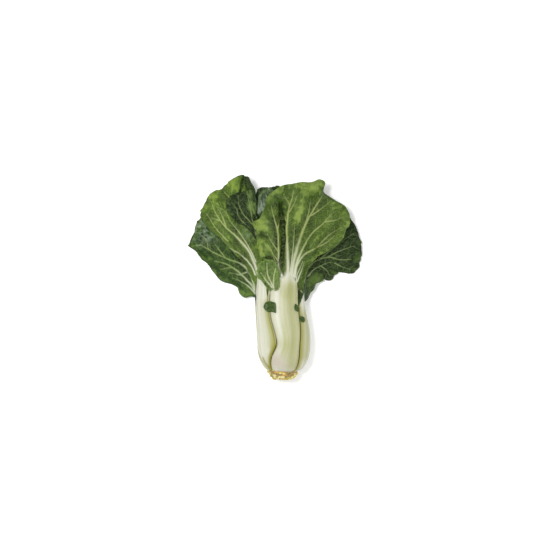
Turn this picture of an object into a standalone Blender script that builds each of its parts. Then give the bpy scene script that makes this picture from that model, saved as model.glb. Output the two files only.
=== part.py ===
# A bok choy lying on its side: a butt, and ten leaves that each have a white stalk and a green blade.
# Units are metres. +Y runs from the cut root end to the leaf tips, +X is to the right seen from above,
# and +Z is up. The origin is the middle of the flat spot under the stalks that the vegetable rests on.

import math

import bmesh
import bpy
import numpy as np
from mathutils import Vector
from mathutils.bvhtree import BVHTree

COLLECTION = "bok_choy"

# Bundle of stalks: distance from the origin, centre x, centre height, half width, half height.
BUNDLE = [
    (-0.0540, 0.0025, 0.0335, 0.0215, 0.0200),
    (-0.0490, 0.0028, 0.0338, 0.0268, 0.0247),
    (-0.0440, 0.0028, 0.0342, 0.0306, 0.0279),
    (-0.0370, 0.0028, 0.0345, 0.0343, 0.0309),
    (-0.0260, 0.0028, 0.0348, 0.0372, 0.0336),
    (-0.0080, 0.0026, 0.0350, 0.0388, 0.0355),
    (0.0120, 0.0012, 0.0350, 0.0380, 0.0354),
    (0.0400, -0.0025, 0.0352, 0.0358, 0.0338),
    (0.0650, -0.0040, 0.0356, 0.0343, 0.0325),
    (0.1000, -0.0040, 0.0360, 0.0335, 0.0315),
]

# A stalk has its full crown where its sector is at least this many degrees wide.
FULL_CROWN = 50.0

# Walls. A stalk thins towards its edges and its end, and is never thicker than a share of its width.
STALK_THICKNESS = 0.0090
EDGE_THICKNESS = 0.0030
STALK_TIP_THICKNESS = 0.0016
NARROW_SHARE = 0.80
THIN_FROM = 0.55
BLADE_THICKNESS = 0.0010

# Play that every blade keeps above the leaf that it lies on
LAYER_GAP = 0.0018
LAY_SAMPLES = 3
LIFT_PASSES = 6
# A blade starts this far past the end of its stalk, and goes on in the way of the stalk's last stretch:
# along its sides and in its middle for these shares of its length.
BLADE_START = 0.0018
FOOT_STEP = 0.0120
SIDE_START = 0.045
CURVE_START = 0.12
CURVE_BULGE = 0.24
# Evening out moves a blade little up to the first share of its length, and freely past the second.
RELAX_PASSES = 20
LEAST_GIVE = 0.05
STIFF_UNTIL = 0.083
FREE_FROM = 0.25

# Butt: radius and distance from its cut end to the point inside the stalks, and its height to its width
BUTT_PROFILE = [(0.0, -0.0645), (0.0135, -0.0640), (0.0180, -0.0612), (0.0200, -0.0575), (0.0202, -0.0548),
                (0.0115, -0.0490), (0.0055, -0.0465), (0.0, -0.0460)]
BUTT_FLATTENING = 0.93
BUTT_OFFSET = -0.0015
BUTT_SIDES = 20
BUTT_BUMP = 0.0012
BUTT_RIM = -0.0560

# Each leaf gives its stalk's sector round the bundle as (distance, left edge, right edge), with the
# edges in degrees from straight up, and the outline of its blade, from the stalk up the left side, over
# the tip and down the right side. The shoulders are the points of the outline where its sides end and its
# far edge begins, and the arch is how far the blade rises between them. A wave is (waves along the margin,
# height, phase) and a fold is (width, depth, line seen from above).
FRONT_CENTRE = dict(
    sector=[(-0.054, -46, 46), (-0.043, -38.5, 42), (-0.033, -31, 40), (-0.013, -15.4, 38.5),
            (0.002, -18.3, 42), (0.020, -24.3, 45.5), (0.053, -24.8, 53), (0.070, -21, 55.5)],
    stalk_from=-0.0540, stalk_side=0.060, stalk_top=0.086, crown=0.0030, ring=1.0,
    outline=[(-0.017, 0.071, 0.066), (-0.012, 0.088, 0.069), (-0.009, 0.099, 0.073),
             (-0.016, 0.104, 0.0755), (-0.029, 0.110, 0.074), (-0.036, 0.130, 0.072),
             (-0.037, 0.150, 0.069), (-0.043, 0.164, 0.064), (-0.031, 0.169, 0.063),
             (-0.026, 0.184, 0.060), (-0.019, 0.203, 0.056), (-0.001, 0.216, 0.053),
             (0.018, 0.221, 0.050), (0.038, 0.223, 0.047), (0.060, 0.225, 0.049),
             (0.060, 0.213, 0.044), (0.080, 0.196, 0.038), (0.099, 0.178, 0.033),
             (0.096, 0.159, 0.034), (0.088, 0.139, 0.037), (0.069, 0.125, 0.042),
             (0.047, 0.110, 0.048), (0.035, 0.089, 0.052), (0.031, 0.074, 0.051),
             (0.030, 0.060, 0.050)],
    shoulders=(5, 18), arch=0.006, waves=[(7.0, 0.0022, 0.4)],
    folds=[(0.0045, 0.0060, [(0.000, 0.092), (0.000, 0.130), (0.001, 0.162), (-0.002, 0.194)]),
           (0.0040, 0.0040, [(0.045, 0.197), (0.054, 0.214)])],
    columns=29, rows=12)

FRONT_LEFT = dict(
    sector=[(-0.054, -60, -47.5), (-0.043, -60, -40.5), (-0.033, -71, -33.5), (-0.013, -90.5, -18.4),
            (0.002, -87.6, -21.4), (0.020, -84.5, -27.4), (0.053, -79, -29.6), (0.070, -76, -28)],
    stalk_from=-0.0540, stalk_side=0.054, stalk_top=0.090, crown=0.0020, ring=1.0,
    outline=[(-0.044, 0.089, 0.046), (-0.051, 0.098, 0.045), (-0.063, 0.111, 0.043),
             (-0.074, 0.124, 0.040), (-0.088, 0.139, 0.037), (-0.099, 0.147, 0.034),
             (-0.111, 0.159, 0.031), (-0.120, 0.174, 0.030), (-0.118, 0.184, 0.031),
             (-0.111, 0.196, 0.033), (-0.104, 0.207, 0.036), (-0.088, 0.214, 0.040),
             (-0.073, 0.228, 0.042), (-0.057, 0.234, 0.042), (-0.050, 0.228, 0.041),
             (-0.041, 0.214, 0.039), (-0.038, 0.196, 0.038), (-0.036, 0.168, 0.039),
             (-0.037, 0.140, 0.042), (-0.035, 0.121, 0.047), (-0.029, 0.102, 0.053),
             (-0.020, 0.076, 0.061)],
    shoulders=(7, 14), arch=0.005, waves=[(6.0, 0.0018, 1.0)],
    folds=[],
    columns=27, rows=11)

BACK_LEFT = dict(
    sector=[(-0.054, -150, -62), (-0.043, -149.5, -62), (-0.033, -149, -73), (-0.013, -147.2, -92.5),
            (0.002, -146, -89.6), (0.020, -143.5, -86.5), (0.053, -137.2, -80.9), (0.070, -134, -77.9)],
    stalk_from=-0.0540, stalk_side=0.040, stalk_top=0.064, crown=0.0015, ring=1.0,
    outline=[(-0.037, 0.054, 0.011), (-0.047, 0.056, 0.009), (-0.054, 0.054, 0.007),
             (-0.060, 0.058, 0.005), (-0.064, 0.069, 0.0045), (-0.073, 0.074, 0.004),
             (-0.091, 0.080, 0.0035), (-0.102, 0.092, 0.0035), (-0.110, 0.105, 0.005),
             (-0.120, 0.111, 0.007), (-0.128, 0.122, 0.009), (-0.139, 0.131, 0.010),
             (-0.131, 0.144, 0.011), (-0.129, 0.155, 0.012), (-0.121, 0.171, 0.014), (-0.111, 0.182, 0.016),
             (-0.096, 0.187, 0.018), (-0.080, 0.180, 0.020), (-0.069, 0.165, 0.022),
             (-0.060, 0.146, 0.027), (-0.053, 0.124, 0.031), (-0.046, 0.102, 0.034),
             (-0.040, 0.080, 0.037)],
    shoulders=(11, 16), arch=0.004, waves=[(6.0, 0.0014, 0.0)],
    folds=[],
    columns=19, rows=12)

BACK_RIGHT = dict(
    sector=[(-0.054, 47.5, 99), (-0.043, 43.5, 96.7), (-0.033, 41.5, 94.9), (-0.013, 40, 92),
            (0.002, 43.5, 92.7), (0.020, 47, 95.6), (0.053, 54.5, 105.3), (0.070, 57, 111)],
    stalk_from=-0.0540, stalk_side=0.040, stalk_top=0.057, crown=0.0015, ring=1.0,
    outline=[(0.024, 0.083, 0.028), (0.024, 0.107, 0.025), (0.026, 0.130, 0.022),
             (0.032, 0.153, 0.020), (0.042, 0.172, 0.018), (0.057, 0.185, 0.016),
             (0.074, 0.188, 0.015), (0.092, 0.180, 0.014), (0.104, 0.166, 0.013),
             (0.112, 0.150, 0.011), (0.117, 0.134, 0.009), (0.117, 0.121, 0.008),
             (0.117, 0.111, 0.006), (0.112, 0.099, 0.004), (0.102, 0.090, 0.004),
             (0.091, 0.091, 0.004), (0.077, 0.091, 0.006), (0.073, 0.081, 0.005),
             (0.058, 0.082, 0.008), (0.049, 0.078, 0.009), (0.044, 0.072, 0.010),
             (0.040, 0.064, 0.014), (0.037, 0.055, 0.019), (0.035, 0.050, 0.023)],
    shoulders=(6, 13), arch=0.004, waves=[(6.0, 0.0014, 2.0)],
    folds=[],
    columns=25, rows=10)

UNDER_LEFT = dict(
    sector=[(-0.0540, -208, -152), (0.0, -208, -148), (0.070, -200, -136.5)],
    stalk_from=-0.0540, stalk_side=0.046, stalk_top=0.064, crown=0.0, ring=1.0,
    outline=[(0.002, 0.074, 0.004), (0.002, 0.098, 0.005), (0.001, 0.124, 0.006),
             (-0.003, 0.150, 0.006), (-0.012, 0.174, 0.006), (-0.026, 0.193, 0.005),
             (-0.044, 0.203, 0.004), (-0.064, 0.204, 0.003), (-0.088, 0.190, 0.003),
             (-0.112, 0.171, 0.003), (-0.130, 0.150, 0.003), (-0.139, 0.130, 0.0035),
             (-0.127, 0.124, 0.0025), (-0.110, 0.115, 0.0014), (-0.091, 0.102, 0.0014),
             (-0.069, 0.088, 0.0014), (-0.047, 0.074, 0.003), (-0.032, 0.063, 0.0045)],
    shoulders=(5, 11), arch=0.000, waves=[(5.0, 0.0012, 0.5)],
    folds=[],
    columns=19, rows=8)

UNDER_RIGHT = dict(
    sector=[(-0.0540, 100.5, 150.5), (0.0, 94, 150.5), (0.070, 114.5, 158.5)],
    stalk_from=-0.0540, stalk_side=0.040, stalk_top=0.058, crown=0.001, ring=1.0,
    outline=[(0.031, 0.058, 0.011), (0.038, 0.074, 0.006), (0.050, 0.084, 0.003),
             (0.064, 0.093, 0.0014), (0.082, 0.101, 0.0014), (0.095, 0.114, 0.0014),
             (0.098, 0.134, 0.0014), (0.089, 0.156, 0.0025), (0.070, 0.175, 0.003),
             (0.048, 0.190, 0.003), (0.029, 0.190, 0.004), (0.018, 0.174, 0.005),
             (0.012, 0.150, 0.006), (0.009, 0.124, 0.006), (0.009, 0.101, 0.006),
             (0.008, 0.077, 0.006)],
    shoulders=(5, 10), arch=0.000, waves=[(5.0, 0.0012, 1.5)],
    folds=[],
    columns=19, rows=8)

INNER_LEFT = dict(
    sector=[(-0.030, -64, 21), (0.0, -64, 21), (0.080, -22, 20)],
    stalk_from=-0.030, stalk_side=0.064, stalk_top=0.080, crown=0.0, ring=0.62,
    wall=0.5, stalk_columns=7, stalk_rows=7,
    outline=[(-0.014, 0.088, 0.0560), (-0.022, 0.106, 0.0550), (-0.030, 0.124, 0.0540),
             (-0.039, 0.142, 0.0530), (-0.052, 0.157, 0.0520), (-0.068, 0.167, 0.0510),
             (-0.080, 0.179, 0.0500), (-0.081, 0.195, 0.0490), (-0.074, 0.202, 0.0480),
             (-0.063, 0.207, 0.0470), (-0.050, 0.212, 0.0465), (-0.042, 0.212, 0.0465),
             (-0.038, 0.203, 0.0470), (-0.037, 0.185, 0.0480), (-0.036, 0.168, 0.0490),
             (-0.030, 0.146, 0.0510), (-0.020, 0.120, 0.0540), (-0.006, 0.098, 0.0560)],
    shoulders=(6, 11), arch=0.002, waves=[(4.0, 0.0010, 0.0)],
    folds=[],
    columns=10, rows=9)

INNER_CENTRE = dict(
    sector=[(-0.030, 25, 111), (0.0, 25, 111), (0.080, 24, 105)],
    stalk_from=-0.030, stalk_side=0.064, stalk_top=0.082, crown=0.0, ring=0.62,
    wall=0.5, stalk_columns=7, stalk_rows=7,
    outline=[(0.001, 0.086, 0.0500), (-0.010, 0.104, 0.0480), (-0.022, 0.126, 0.0460),
             (-0.031, 0.148, 0.0445), (-0.035, 0.168, 0.0440), (-0.037, 0.184, 0.0435),
             (-0.036, 0.199, 0.0430), (-0.029, 0.210, 0.0420), (-0.018, 0.215, 0.0420),
             (-0.009, 0.210, 0.0420), (-0.007, 0.197, 0.0430), (-0.003, 0.175, 0.0440),
             (0.003, 0.150, 0.0440), (0.010, 0.122, 0.0430), (0.017, 0.098, 0.0400)],
    shoulders=(6, 9), arch=0.002, waves=[(4.0, 0.0010, 0.0)],
    folds=[],
    columns=13, rows=10)

INNER_BACK = dict(
    sector=[(-0.030, 115, 292), (0.0, 115, 292), (0.080, 112, 270)],
    stalk_from=-0.030, stalk_side=0.056, stalk_top=0.072, crown=0.0, ring=0.62,
    wall=0.5, stalk_columns=7, stalk_rows=7,
    outline=[(0.014, 0.088, 0.021), (0.014, 0.117, 0.023), (0.015, 0.142, 0.025),
             (0.016, 0.168, 0.027), (0.017, 0.190, 0.028), (0.013, 0.209, 0.029),
             (0.001, 0.217, 0.030), (-0.010, 0.218, 0.030), (-0.019, 0.216, 0.029),
             (-0.030, 0.217, 0.028), (-0.038, 0.212, 0.027), (-0.041, 0.197, 0.026),
             (-0.039, 0.175, 0.025), (-0.034, 0.146, 0.023), (-0.027, 0.117, 0.021),
             (-0.020, 0.088, 0.019)],
    shoulders=(5, 10), arch=0.002, waves=[(4.0, 0.0010, 0.0)],
    folds=[],
    columns=12, rows=10)

SMALL_FRONT = dict(
    sector=[(-0.014, -17.6, -16.2), (0.002, -20.6, -19.1), (0.020, -26.6, -25.1),
            (0.053, -28.8, -25.6), (0.066, -27.5, -22.2)],
    stalk_from=-0.014, stalk_side=0.062, stalk_top=0.064, crown=0.0, ring=1.0,
    wall=0.2, stalk_columns=4, stalk_rows=9,
    outline=[(-0.022, 0.069, 0.0695), (-0.028, 0.076, 0.069), (-0.034, 0.085, 0.0685),
             (-0.037, 0.093, 0.069), (-0.035, 0.101, 0.074), (-0.029, 0.107, 0.079),
             (-0.020, 0.110, 0.0805), (-0.012, 0.108, 0.0805), (-0.007, 0.100, 0.0785),
             (-0.003, 0.092, 0.0755), (-0.003, 0.083, 0.0745), (-0.004, 0.074, 0.0735),
             (-0.006, 0.067, 0.0725)],
    shoulders=(4, 8), arch=0.001, waves=[(3.0, 0.0006, 0.0)],
    folds=[],
    columns=7, rows=8)

# Leaves from the lowest to the highest, each laid on those before it.
LEAVES = [
    ("under_left", UNDER_LEFT), ("under_right", UNDER_RIGHT), ("back_left", BACK_LEFT),
    ("back_right", BACK_RIGHT), ("inner_back", INNER_BACK), ("front_left", FRONT_LEFT),
    ("inner_centre", INNER_CENTRE), ("inner_left", INNER_LEFT), ("front_centre", FRONT_CENTRE),
    ("small_front", SMALL_FRONT),
]

# Leaflets on the stalks: centre x and y, length, width, turn in degrees.
LEAFLETS = [
    ("leaflet_round", -0.018, 0.042, 0.016, 0.018, 20),
    ("leaflet_slim", 0.022, 0.040, 0.011, 0.006, 0),
    ("leaflet_side", 0.0295, 0.0235, 0.009, 0.005, -20),
]

# Colour, roughness
STALK_WHITE = ((0.80, 0.80, 0.66), 0.35)
BLADE_GREEN = ((0.12, 0.25, 0.06), 0.45)
BUTT_TAN = ((0.62, 0.55, 0.36), 0.70)
LEAFLET_GREEN = ((0.04, 0.09, 0.03), 0.50)


# Curves

def through(knots, values, at):
    """Values on a smooth line that passes through the given values at the knots."""
    knots = np.asarray(knots, dtype=float)
    values = np.asarray(values, dtype=float)
    at = np.clip(at, knots[0], knots[-1])
    slopes = np.gradient(values, knots, axis=0)
    cell = np.clip(np.searchsorted(knots, at, side="right") - 1, 0, len(knots) - 2)
    span = knots[cell + 1] - knots[cell]
    t = (at - knots[cell]) / span
    if values.ndim > 1:
        t = t[..., None]
        span = span[..., None]
    start, end = values[cell], values[cell + 1]
    rise = span * slopes[cell]
    settle = span * slopes[cell + 1]
    return (start * (2 * t**3 - 3 * t**2 + 1) + rise * (t**3 - 2 * t**2 + t)
            + end * (3 * t**2 - 2 * t**3) + settle * (t**3 - t**2))


def along(points, at):
    """Points at fractions of the length of a smooth line through the given points."""
    points = np.asarray(points, dtype=float)
    steps = np.linalg.norm(np.diff(points, axis=0), axis=1)
    knots = np.concatenate([[0.0], np.cumsum(steps)]) / steps.sum()
    return through(knots, points, at)


def distance_to_line(x, y, line):
    """Distance in plan from each point to a line of straight stretches."""
    nearest = np.full(x.shape, np.inf)
    for (ax, ay), (bx, by) in zip(line[:-1], line[1:]):
        length2 = (bx - ax)**2 + (by - ay)**2
        t = np.clip(((x - ax) * (bx - ax) + (y - ay) * (by - ay)) / length2, 0, 1)
        nearest = np.minimum(nearest, np.hypot(x - ax - t * (bx - ax), y - ay - t * (by - ay)))
    return nearest


# Leaf surfaces, as arrays of points with one row for each step from the butt towards the margin

def bundle_point(leaf, across, y, inset=0.0):
    """Points on the outer face of a stalk, across from 0 at its left edge to 1 at its right."""
    stations = np.array(BUNDLE)
    centre_x, centre_z, half_width, half_height = through(stations[:, 0], stations[:, 1:], y).T
    sector = np.array(leaf["sector"], dtype=float)
    left, right = through(sector[:, 0], sector[:, 1:], y).T
    angle = np.radians(left + (right - left) * across.T)
    crown = leaf["crown"] * np.minimum((right - left) / FULL_CROWN, 1) * (1 - (2 * across.T - 1)**2)
    x = centre_x + (half_width * leaf["ring"] + crown - inset) * np.sin(angle)
    z = centre_z + (half_height * leaf["ring"] + crown - inset) * np.cos(angle)
    return np.stack([x.T, y, np.maximum(z.T, 0.0)], axis=-1)


def stalk_end(leaf, across):
    """Distance along the bundle at which the stalk gives way to the blade."""
    return leaf["stalk_side"] + (leaf["stalk_top"] - leaf["stalk_side"]) * np.sin(math.pi * across)


def stalk_surface(leaf, across, rows):
    """Outer face of the stalk, and its wall thickness at each point."""
    steps, sides = np.meshgrid(np.linspace(0, 1, rows), across, indexing="ij")
    y = leaf["stalk_from"] + (stalk_end(leaf, sides) - leaf["stalk_from"]) * steps
    points = bundle_point(leaf, sides, y)
    middle = 1 - (2 * sides - 1)**2
    scale = leaf.get("wall", 1.0)
    wall = EDGE_THICKNESS * scale + (STALK_THICKNESS - EDGE_THICKNESS) * scale * middle
    width = np.linalg.norm(points[:, -1] - points[:, 0], axis=1)[:, None]
    wall = np.minimum(wall, width * NARROW_SHARE)
    taper = np.clip((steps - THIN_FROM) / (1 - THIN_FROM), 0, 1)
    return points, wall + (min(STALK_TIP_THICKNESS, wall.min()) - wall) * taper**1.5


def relax(points, passes):
    """Even out the inside of a grid whose margin stays as it is."""
    share = np.linspace(0, 1, points.shape[0])[1:-1, None, None]
    give = np.clip((share - STIFF_UNTIL) / (FREE_FROM - STIFF_UNTIL), LEAST_GIVE, 1)
    for _ in range(passes):
        around = (points[:-2, 1:-1] + points[2:, 1:-1] + points[1:-1, :-2] + points[1:-1, 2:]) / 4
        points[1:-1, 1:-1] += (around - points[1:-1, 1:-1]) * give
    return points


def blade_surface(leaf, across, rows):
    """Middle of the blade: columns curve from the stalk's end to the far edge, between the two sides."""
    end = stalk_end(leaf, across)
    foot = bundle_point(leaf, across, end, BLADE_THICKNESS / 2)
    before = bundle_point(leaf, across, end - FOOT_STEP, BLADE_THICKNESS / 2)
    way = (foot - before) / np.linalg.norm(foot - before, axis=1)[:, None]
    foot = foot + way * BLADE_START
    left_shoulder, right_shoulder = leaf["shoulders"]
    outline = leaf["outline"]
    far_edge = along(outline[left_shoulder:right_shoulder + 1], across)
    reach = np.linalg.norm(far_edge - foot, axis=1)[:, None]
    first = foot + way * reach * (CURVE_START + CURVE_BULGE * np.sin(math.pi * across))[:, None]
    second = far_edge + (first - far_edge) * 0.5
    steps = np.linspace(0, 1, rows)
    t = steps[:, None, None]
    points = foot * (1 - t)**3 + first * 3 * t * (1 - t)**2 + second * 3 * t**2 * (1 - t) + far_edge * t**3
    clear = foot + way * reach * SIDE_START
    left_side = along([foot[0], clear[0]] + outline[:left_shoulder + 1], steps)
    right_side = along([foot[-1], clear[-1]] + outline[:right_shoulder - 1:-1], steps)
    left_pull = (left_side - points[:, 0])[:, None]
    right_pull = (right_side - points[:, -1])[:, None]
    share = across**2 * (3 - 2 * across)
    points = points + left_pull * (1 - share)[None, :, None] + right_pull * share[None, :, None]
    points = relax(points, RELAX_PASSES)

    t = t[:, :, 0]
    points[:, :, 2] += leaf["arch"] * 4 * t * (1 - t) * np.sin(math.pi * across)
    inside = np.minimum(np.minimum(across, 1 - across) * 2, 1)
    edge = np.maximum(t, (1 - inside) * np.minimum(t * 3, 1))
    for count, height, phase in leaf["waves"]:
        turn = count * (across * (0.5 + 0.5 * t) + 0.25 * (1 - t)) + 1.5 * t
        points[:, :, 2] += height * edge**2.2 * np.sin(2 * math.pi * turn + phase)
    for width, depth, line in leaf["folds"]:
        away = distance_to_line(points[:, :, 0], points[:, :, 1], line)
        points[:, :, 2] -= depth * np.exp(-(away / width)**2) * np.clip(t * 4, 0, 1)
    return points


# Meshes

def add_object(name, mesh, collection):
    obj = bpy.data.objects.new(name, mesh)
    collection.objects.link(obj)
    return obj


def material(name, look):
    colour, roughness = look
    made = bpy.data.materials.new(name)
    made.use_nodes = True
    shader = made.node_tree.nodes["Principled BSDF"]
    shader.inputs["Base Color"].default_value = (*colour, 1.0)
    shader.inputs["Roughness"].default_value = roughness
    return made


def sheet_mesh(name, points):
    """A grid of triangles laid through an array of points."""
    rows, columns = points.shape[:2]
    work = bmesh.new()
    bmesh.ops.create_grid(work, x_segments=columns - 1, y_segments=rows - 1, size=1.0)
    work.verts.ensure_lookup_table()
    for vert in work.verts:
        column = round((vert.co.x + 1) / 2 * (columns - 1))
        row = round((vert.co.y + 1) / 2 * (rows - 1))
        vert.co = points[row, column]
    bmesh.ops.triangulate(work, faces=work.faces[:], quad_method="SHORT_EDGE")
    mesh = bpy.data.meshes.new(name)
    work.to_mesh(mesh)
    work.free()
    return mesh


def thicken(obj, thickness, offset, walls=None):
    """Give a sheet its wall. walls holds the thickness at each vertex where it varies."""
    solid = obj.modifiers.new("wall", "SOLIDIFY")
    solid.thickness = thickness
    solid.offset = offset
    solid.use_rim = True
    if walls is not None:
        group = obj.vertex_groups.new(name="wall")
        for index, wall in enumerate(walls):
            group.add([index], float(wall / thickness), "REPLACE")
        solid.vertex_group = group.name


def vertex_walls(mesh, points, walls):
    """The wall of each vertex of a sheet, looked up by its place."""
    flat = points.reshape(-1, 3)
    thickness = walls.reshape(-1)
    found = []
    for vert in mesh.vertices:
        found.append(thickness[np.argmin(((flat - np.array(vert.co))**2).sum(axis=1))])
    return found


def trees_of(objects):
    graph = bpy.context.evaluated_depsgraph_get()
    return [BVHTree.FromObject(obj, graph) for obj in objects]


def lay_on(points, trees, play):
    """Lift a sheet wherever it is less than the play above the highest surface under it."""
    rows, columns = points.shape[:2]
    lift = np.zeros((rows, columns))
    parts = np.linspace(0, 1, LAY_SAMPLES)
    for row in range(rows - 1):
        for column in range(columns - 1):
            corners = points[row:row + 2, column:column + 2]
            need = 0.0
            for a in parts:
                for b in parts:
                    x, y, z = ((corners[0, 0] * (1 - b) + corners[0, 1] * b) * (1 - a)
                               + (corners[1, 0] * (1 - b) + corners[1, 1] * b) * a)
                    for tree in trees:
                        hit = tree.ray_cast(Vector((x, y, 1.0)), Vector((0, 0, -1)))[0]
                        if hit is not None:
                            need = max(need, hit.z + play - z)
            cell = lift[row:row + 2, column:column + 2]
            cell[:] = np.maximum(cell, need)
    for _ in range(LIFT_PASSES):
        padded = np.pad(lift, 1, mode="edge")
        around = (padded[:-2, 1:-1] + padded[2:, 1:-1] + padded[1:-1, :-2] + padded[1:-1, 2:]) / 4
        lift[1:] = np.maximum(lift[1:], around[1:])
    points[:, :, 2] += lift
    return points


# Pieces

def make_leaf(name, leaf, collection, looks, below):
    """Both nodes of a leaf, with the blade laid on the pieces that are there already."""
    across = np.linspace(0, 1, leaf.get("stalk_columns", 9))
    points, walls = stalk_surface(leaf, across, leaf.get("stalk_rows", 12))
    mesh = sheet_mesh("stalk_" + name, points)
    stalk = add_object("stalk_" + name, mesh, collection)
    thicken(stalk, STALK_THICKNESS, -1.0, vertex_walls(mesh, points, walls))
    mesh.materials.append(looks["stalk"])

    across = np.linspace(0, 1, leaf["columns"])
    points = blade_surface(leaf, across, leaf["rows"])
    points = lay_on(points, trees_of(below), LAYER_GAP)
    points[:, :, 2] = np.maximum(points[:, :, 2], BLADE_THICKNESS / 2)
    mesh = sheet_mesh("blade_" + name, points)
    blade = add_object("blade_" + name, mesh, collection)
    thicken(blade, BLADE_THICKNESS, 0.0)
    mesh.materials.append(looks["blade"])
    return [stalk, blade]


def make_leaflet(name, centre_x, centre_y, length, width, turn, collection, look, below):
    """A small leaf that lies on the stalks."""
    across, steps = np.meshgrid(np.linspace(-1, 1, 5), np.linspace(-1, 1, 5))
    x = across * np.sqrt(1 - steps**2 / 2) * width / 2
    y = steps * np.sqrt(1 - across**2 / 2) * length / 2
    turn = math.radians(turn)
    points = np.stack([centre_x + x * math.cos(turn) - y * math.sin(turn),
                       centre_y + x * math.sin(turn) + y * math.cos(turn),
                       np.zeros_like(x)], axis=-1)
    points = lay_on(points, trees_of(below), LAYER_GAP)
    mesh = sheet_mesh(name, points)
    leaflet = add_object(name, mesh, collection)
    thicken(leaflet, BLADE_THICKNESS, 0.0)
    mesh.materials.append(look)
    return leaflet


def make_butt(collection, look):
    """The rough cut root end: a turned plug, knobby where it shows below the stalks."""
    work = bmesh.new()
    corners = [work.verts.new((radius, y, 0.0)) for radius, y in BUTT_PROFILE]
    edges = [work.edges.new(pair) for pair in zip(corners[:-1], corners[1:])]
    bmesh.ops.spin(work, geom=corners + edges, cent=(0, 0, 0), axis=(0, 1, 0), dvec=(0, 0, 0),
                   angle=2 * math.pi, steps=BUTT_SIDES, use_merge=True)
    bmesh.ops.remove_doubles(work, verts=work.verts[:], dist=0.00001)
    bmesh.ops.recalc_face_normals(work, faces=work.faces[:])
    for vert in work.verts:
        x, y, z = vert.co
        if y < BUTT_RIM:
            swell = 1 + BUTT_BUMP / BUTT_PROFILE[3][0] * math.sin(7 * math.atan2(z, x) + 900 * y)
            x, z = x * swell, z * swell
        vert.co = (BUNDLE[0][1] + BUTT_OFFSET + x, y, BUNDLE[0][2] + z * BUTT_FLATTENING)
    mesh = bpy.data.meshes.new("butt")
    work.to_mesh(mesh)
    work.free()
    mesh.materials.append(look)
    return add_object("butt", mesh, collection)


def main():
    for obj in list(bpy.data.objects):
        bpy.data.objects.remove(obj, do_unlink=True)
    collection = bpy.data.collections.new(COLLECTION)
    bpy.context.scene.collection.children.link(collection)
    looks = {"stalk": material("stalk_white", STALK_WHITE), "blade": material("blade_green", BLADE_GREEN)}
    make_butt(collection, material("butt_tan", BUTT_TAN))
    pieces = []
    for name, leaf in LEAVES:
        pieces += make_leaf(name, leaf, collection, looks, pieces)
    leaflet_look = material("leaflet_green", LEAFLET_GREEN)
    for name, centre_x, centre_y, length, width, turn in LEAFLETS:
        pieces.append(make_leaflet(name, centre_x, centre_y, length, width, turn, collection,
                                   leaflet_look, pieces))


main()
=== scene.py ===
# A bok choy lying on its side, dressed over its solids. Metres, +Y from the cut root end to the leaf
# tips, +Z up.

import math

import bpy
import numpy as np
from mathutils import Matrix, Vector
from mathutils.bvhtree import BVHTree


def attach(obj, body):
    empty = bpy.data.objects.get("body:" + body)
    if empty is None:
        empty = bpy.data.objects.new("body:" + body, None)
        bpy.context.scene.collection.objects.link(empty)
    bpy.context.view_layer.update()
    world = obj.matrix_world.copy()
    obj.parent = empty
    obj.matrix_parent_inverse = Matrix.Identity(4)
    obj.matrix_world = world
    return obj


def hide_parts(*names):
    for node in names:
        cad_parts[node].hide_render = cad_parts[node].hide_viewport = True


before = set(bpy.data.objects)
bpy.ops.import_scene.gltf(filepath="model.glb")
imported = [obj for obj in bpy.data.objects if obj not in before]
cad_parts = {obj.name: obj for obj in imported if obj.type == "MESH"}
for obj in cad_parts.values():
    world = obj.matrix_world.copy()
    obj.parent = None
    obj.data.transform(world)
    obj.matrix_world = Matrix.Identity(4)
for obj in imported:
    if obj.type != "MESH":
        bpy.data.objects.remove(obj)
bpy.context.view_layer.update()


# Under leaves. They carry the bundle and lie on the surface, on thick crisp stalks that thin out into
# the blade. Every leaf is one piece here: a fine sheet from the root end to its margin, given its wall.

# Bundle of stalks: distance from the origin, centre x, centre height, half width, half height.
BUNDLE = [
    (-0.054, 0.0025, 0.0335, 0.0215, 0.020),
    (-0.049, 0.0028, 0.0338, 0.0268, 0.0247),
    (-0.044, 0.0028, 0.0342, 0.0306, 0.0279),
    (-0.037, 0.0028, 0.0345, 0.0343, 0.0309),
    (-0.026, 0.0028, 0.0348, 0.0372, 0.0336),
    (-0.008, 0.0026, 0.035, 0.0388, 0.0355),
    (0.012, 0.0012, 0.035, 0.038, 0.0354),
    (0.040, -0.0025, 0.0352, 0.0358, 0.0338),
    (0.065, -0.004, 0.0356, 0.0343, 0.0325),
    (0.100, -0.004, 0.036, 0.0335, 0.0315),
]

# A stalk has its full crown where its sector is at least this many degrees wide.
FULL_CROWN = 50.0

# Walls of stalks and blades, as in the solids, and of the finer leaf that stands for them
STALK_THICKNESS = 0.009
EDGE_THICKNESS = 0.003
NARROW_SHARE = 0.80
THIN_FROM = 0.55
EDGE_ROUNDING = 0.0016
FOOT_INSET = 0.0035
FOOT_FROM = -0.0488
FOOT_LENGTH = 0.0052
BLADE_THICKNESS = 0.001
LEAF_THICKNESS = 0.0007

# Play between leaves, for the solids and between finished leaves
LAYER_GAP = 0.0018
FINE_GAP = 0.0012
LAY_SAMPLES = 3
LIFT_PASSES = 6

# How a blade starts at its stalk and is evened out, as in the solids
BLADE_START = 0.0018
FOOT_STEP = 0.012
SIDE_START = 0.045
CURVE_START = 0.12
CURVE_BULGE = 0.24
RELAX_PASSES = 20
LEAST_GIVE = 0.05
STIFF_UNTIL = 0.083
FREE_FROM = 0.25

# How the fine blade is made: shares of its length and width over which it is drawn to its exact outline,
# rows over which it begins to rise clear, and the steps of its wall's thickness
TIP_BLEND = 0.15
SIDE_BLEND = 0.12
FOOT_BLEND = 0.1
CLEAR_ROWS = 6
CLEAR_PASSES = 10
WALL_STEPS = 100

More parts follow.
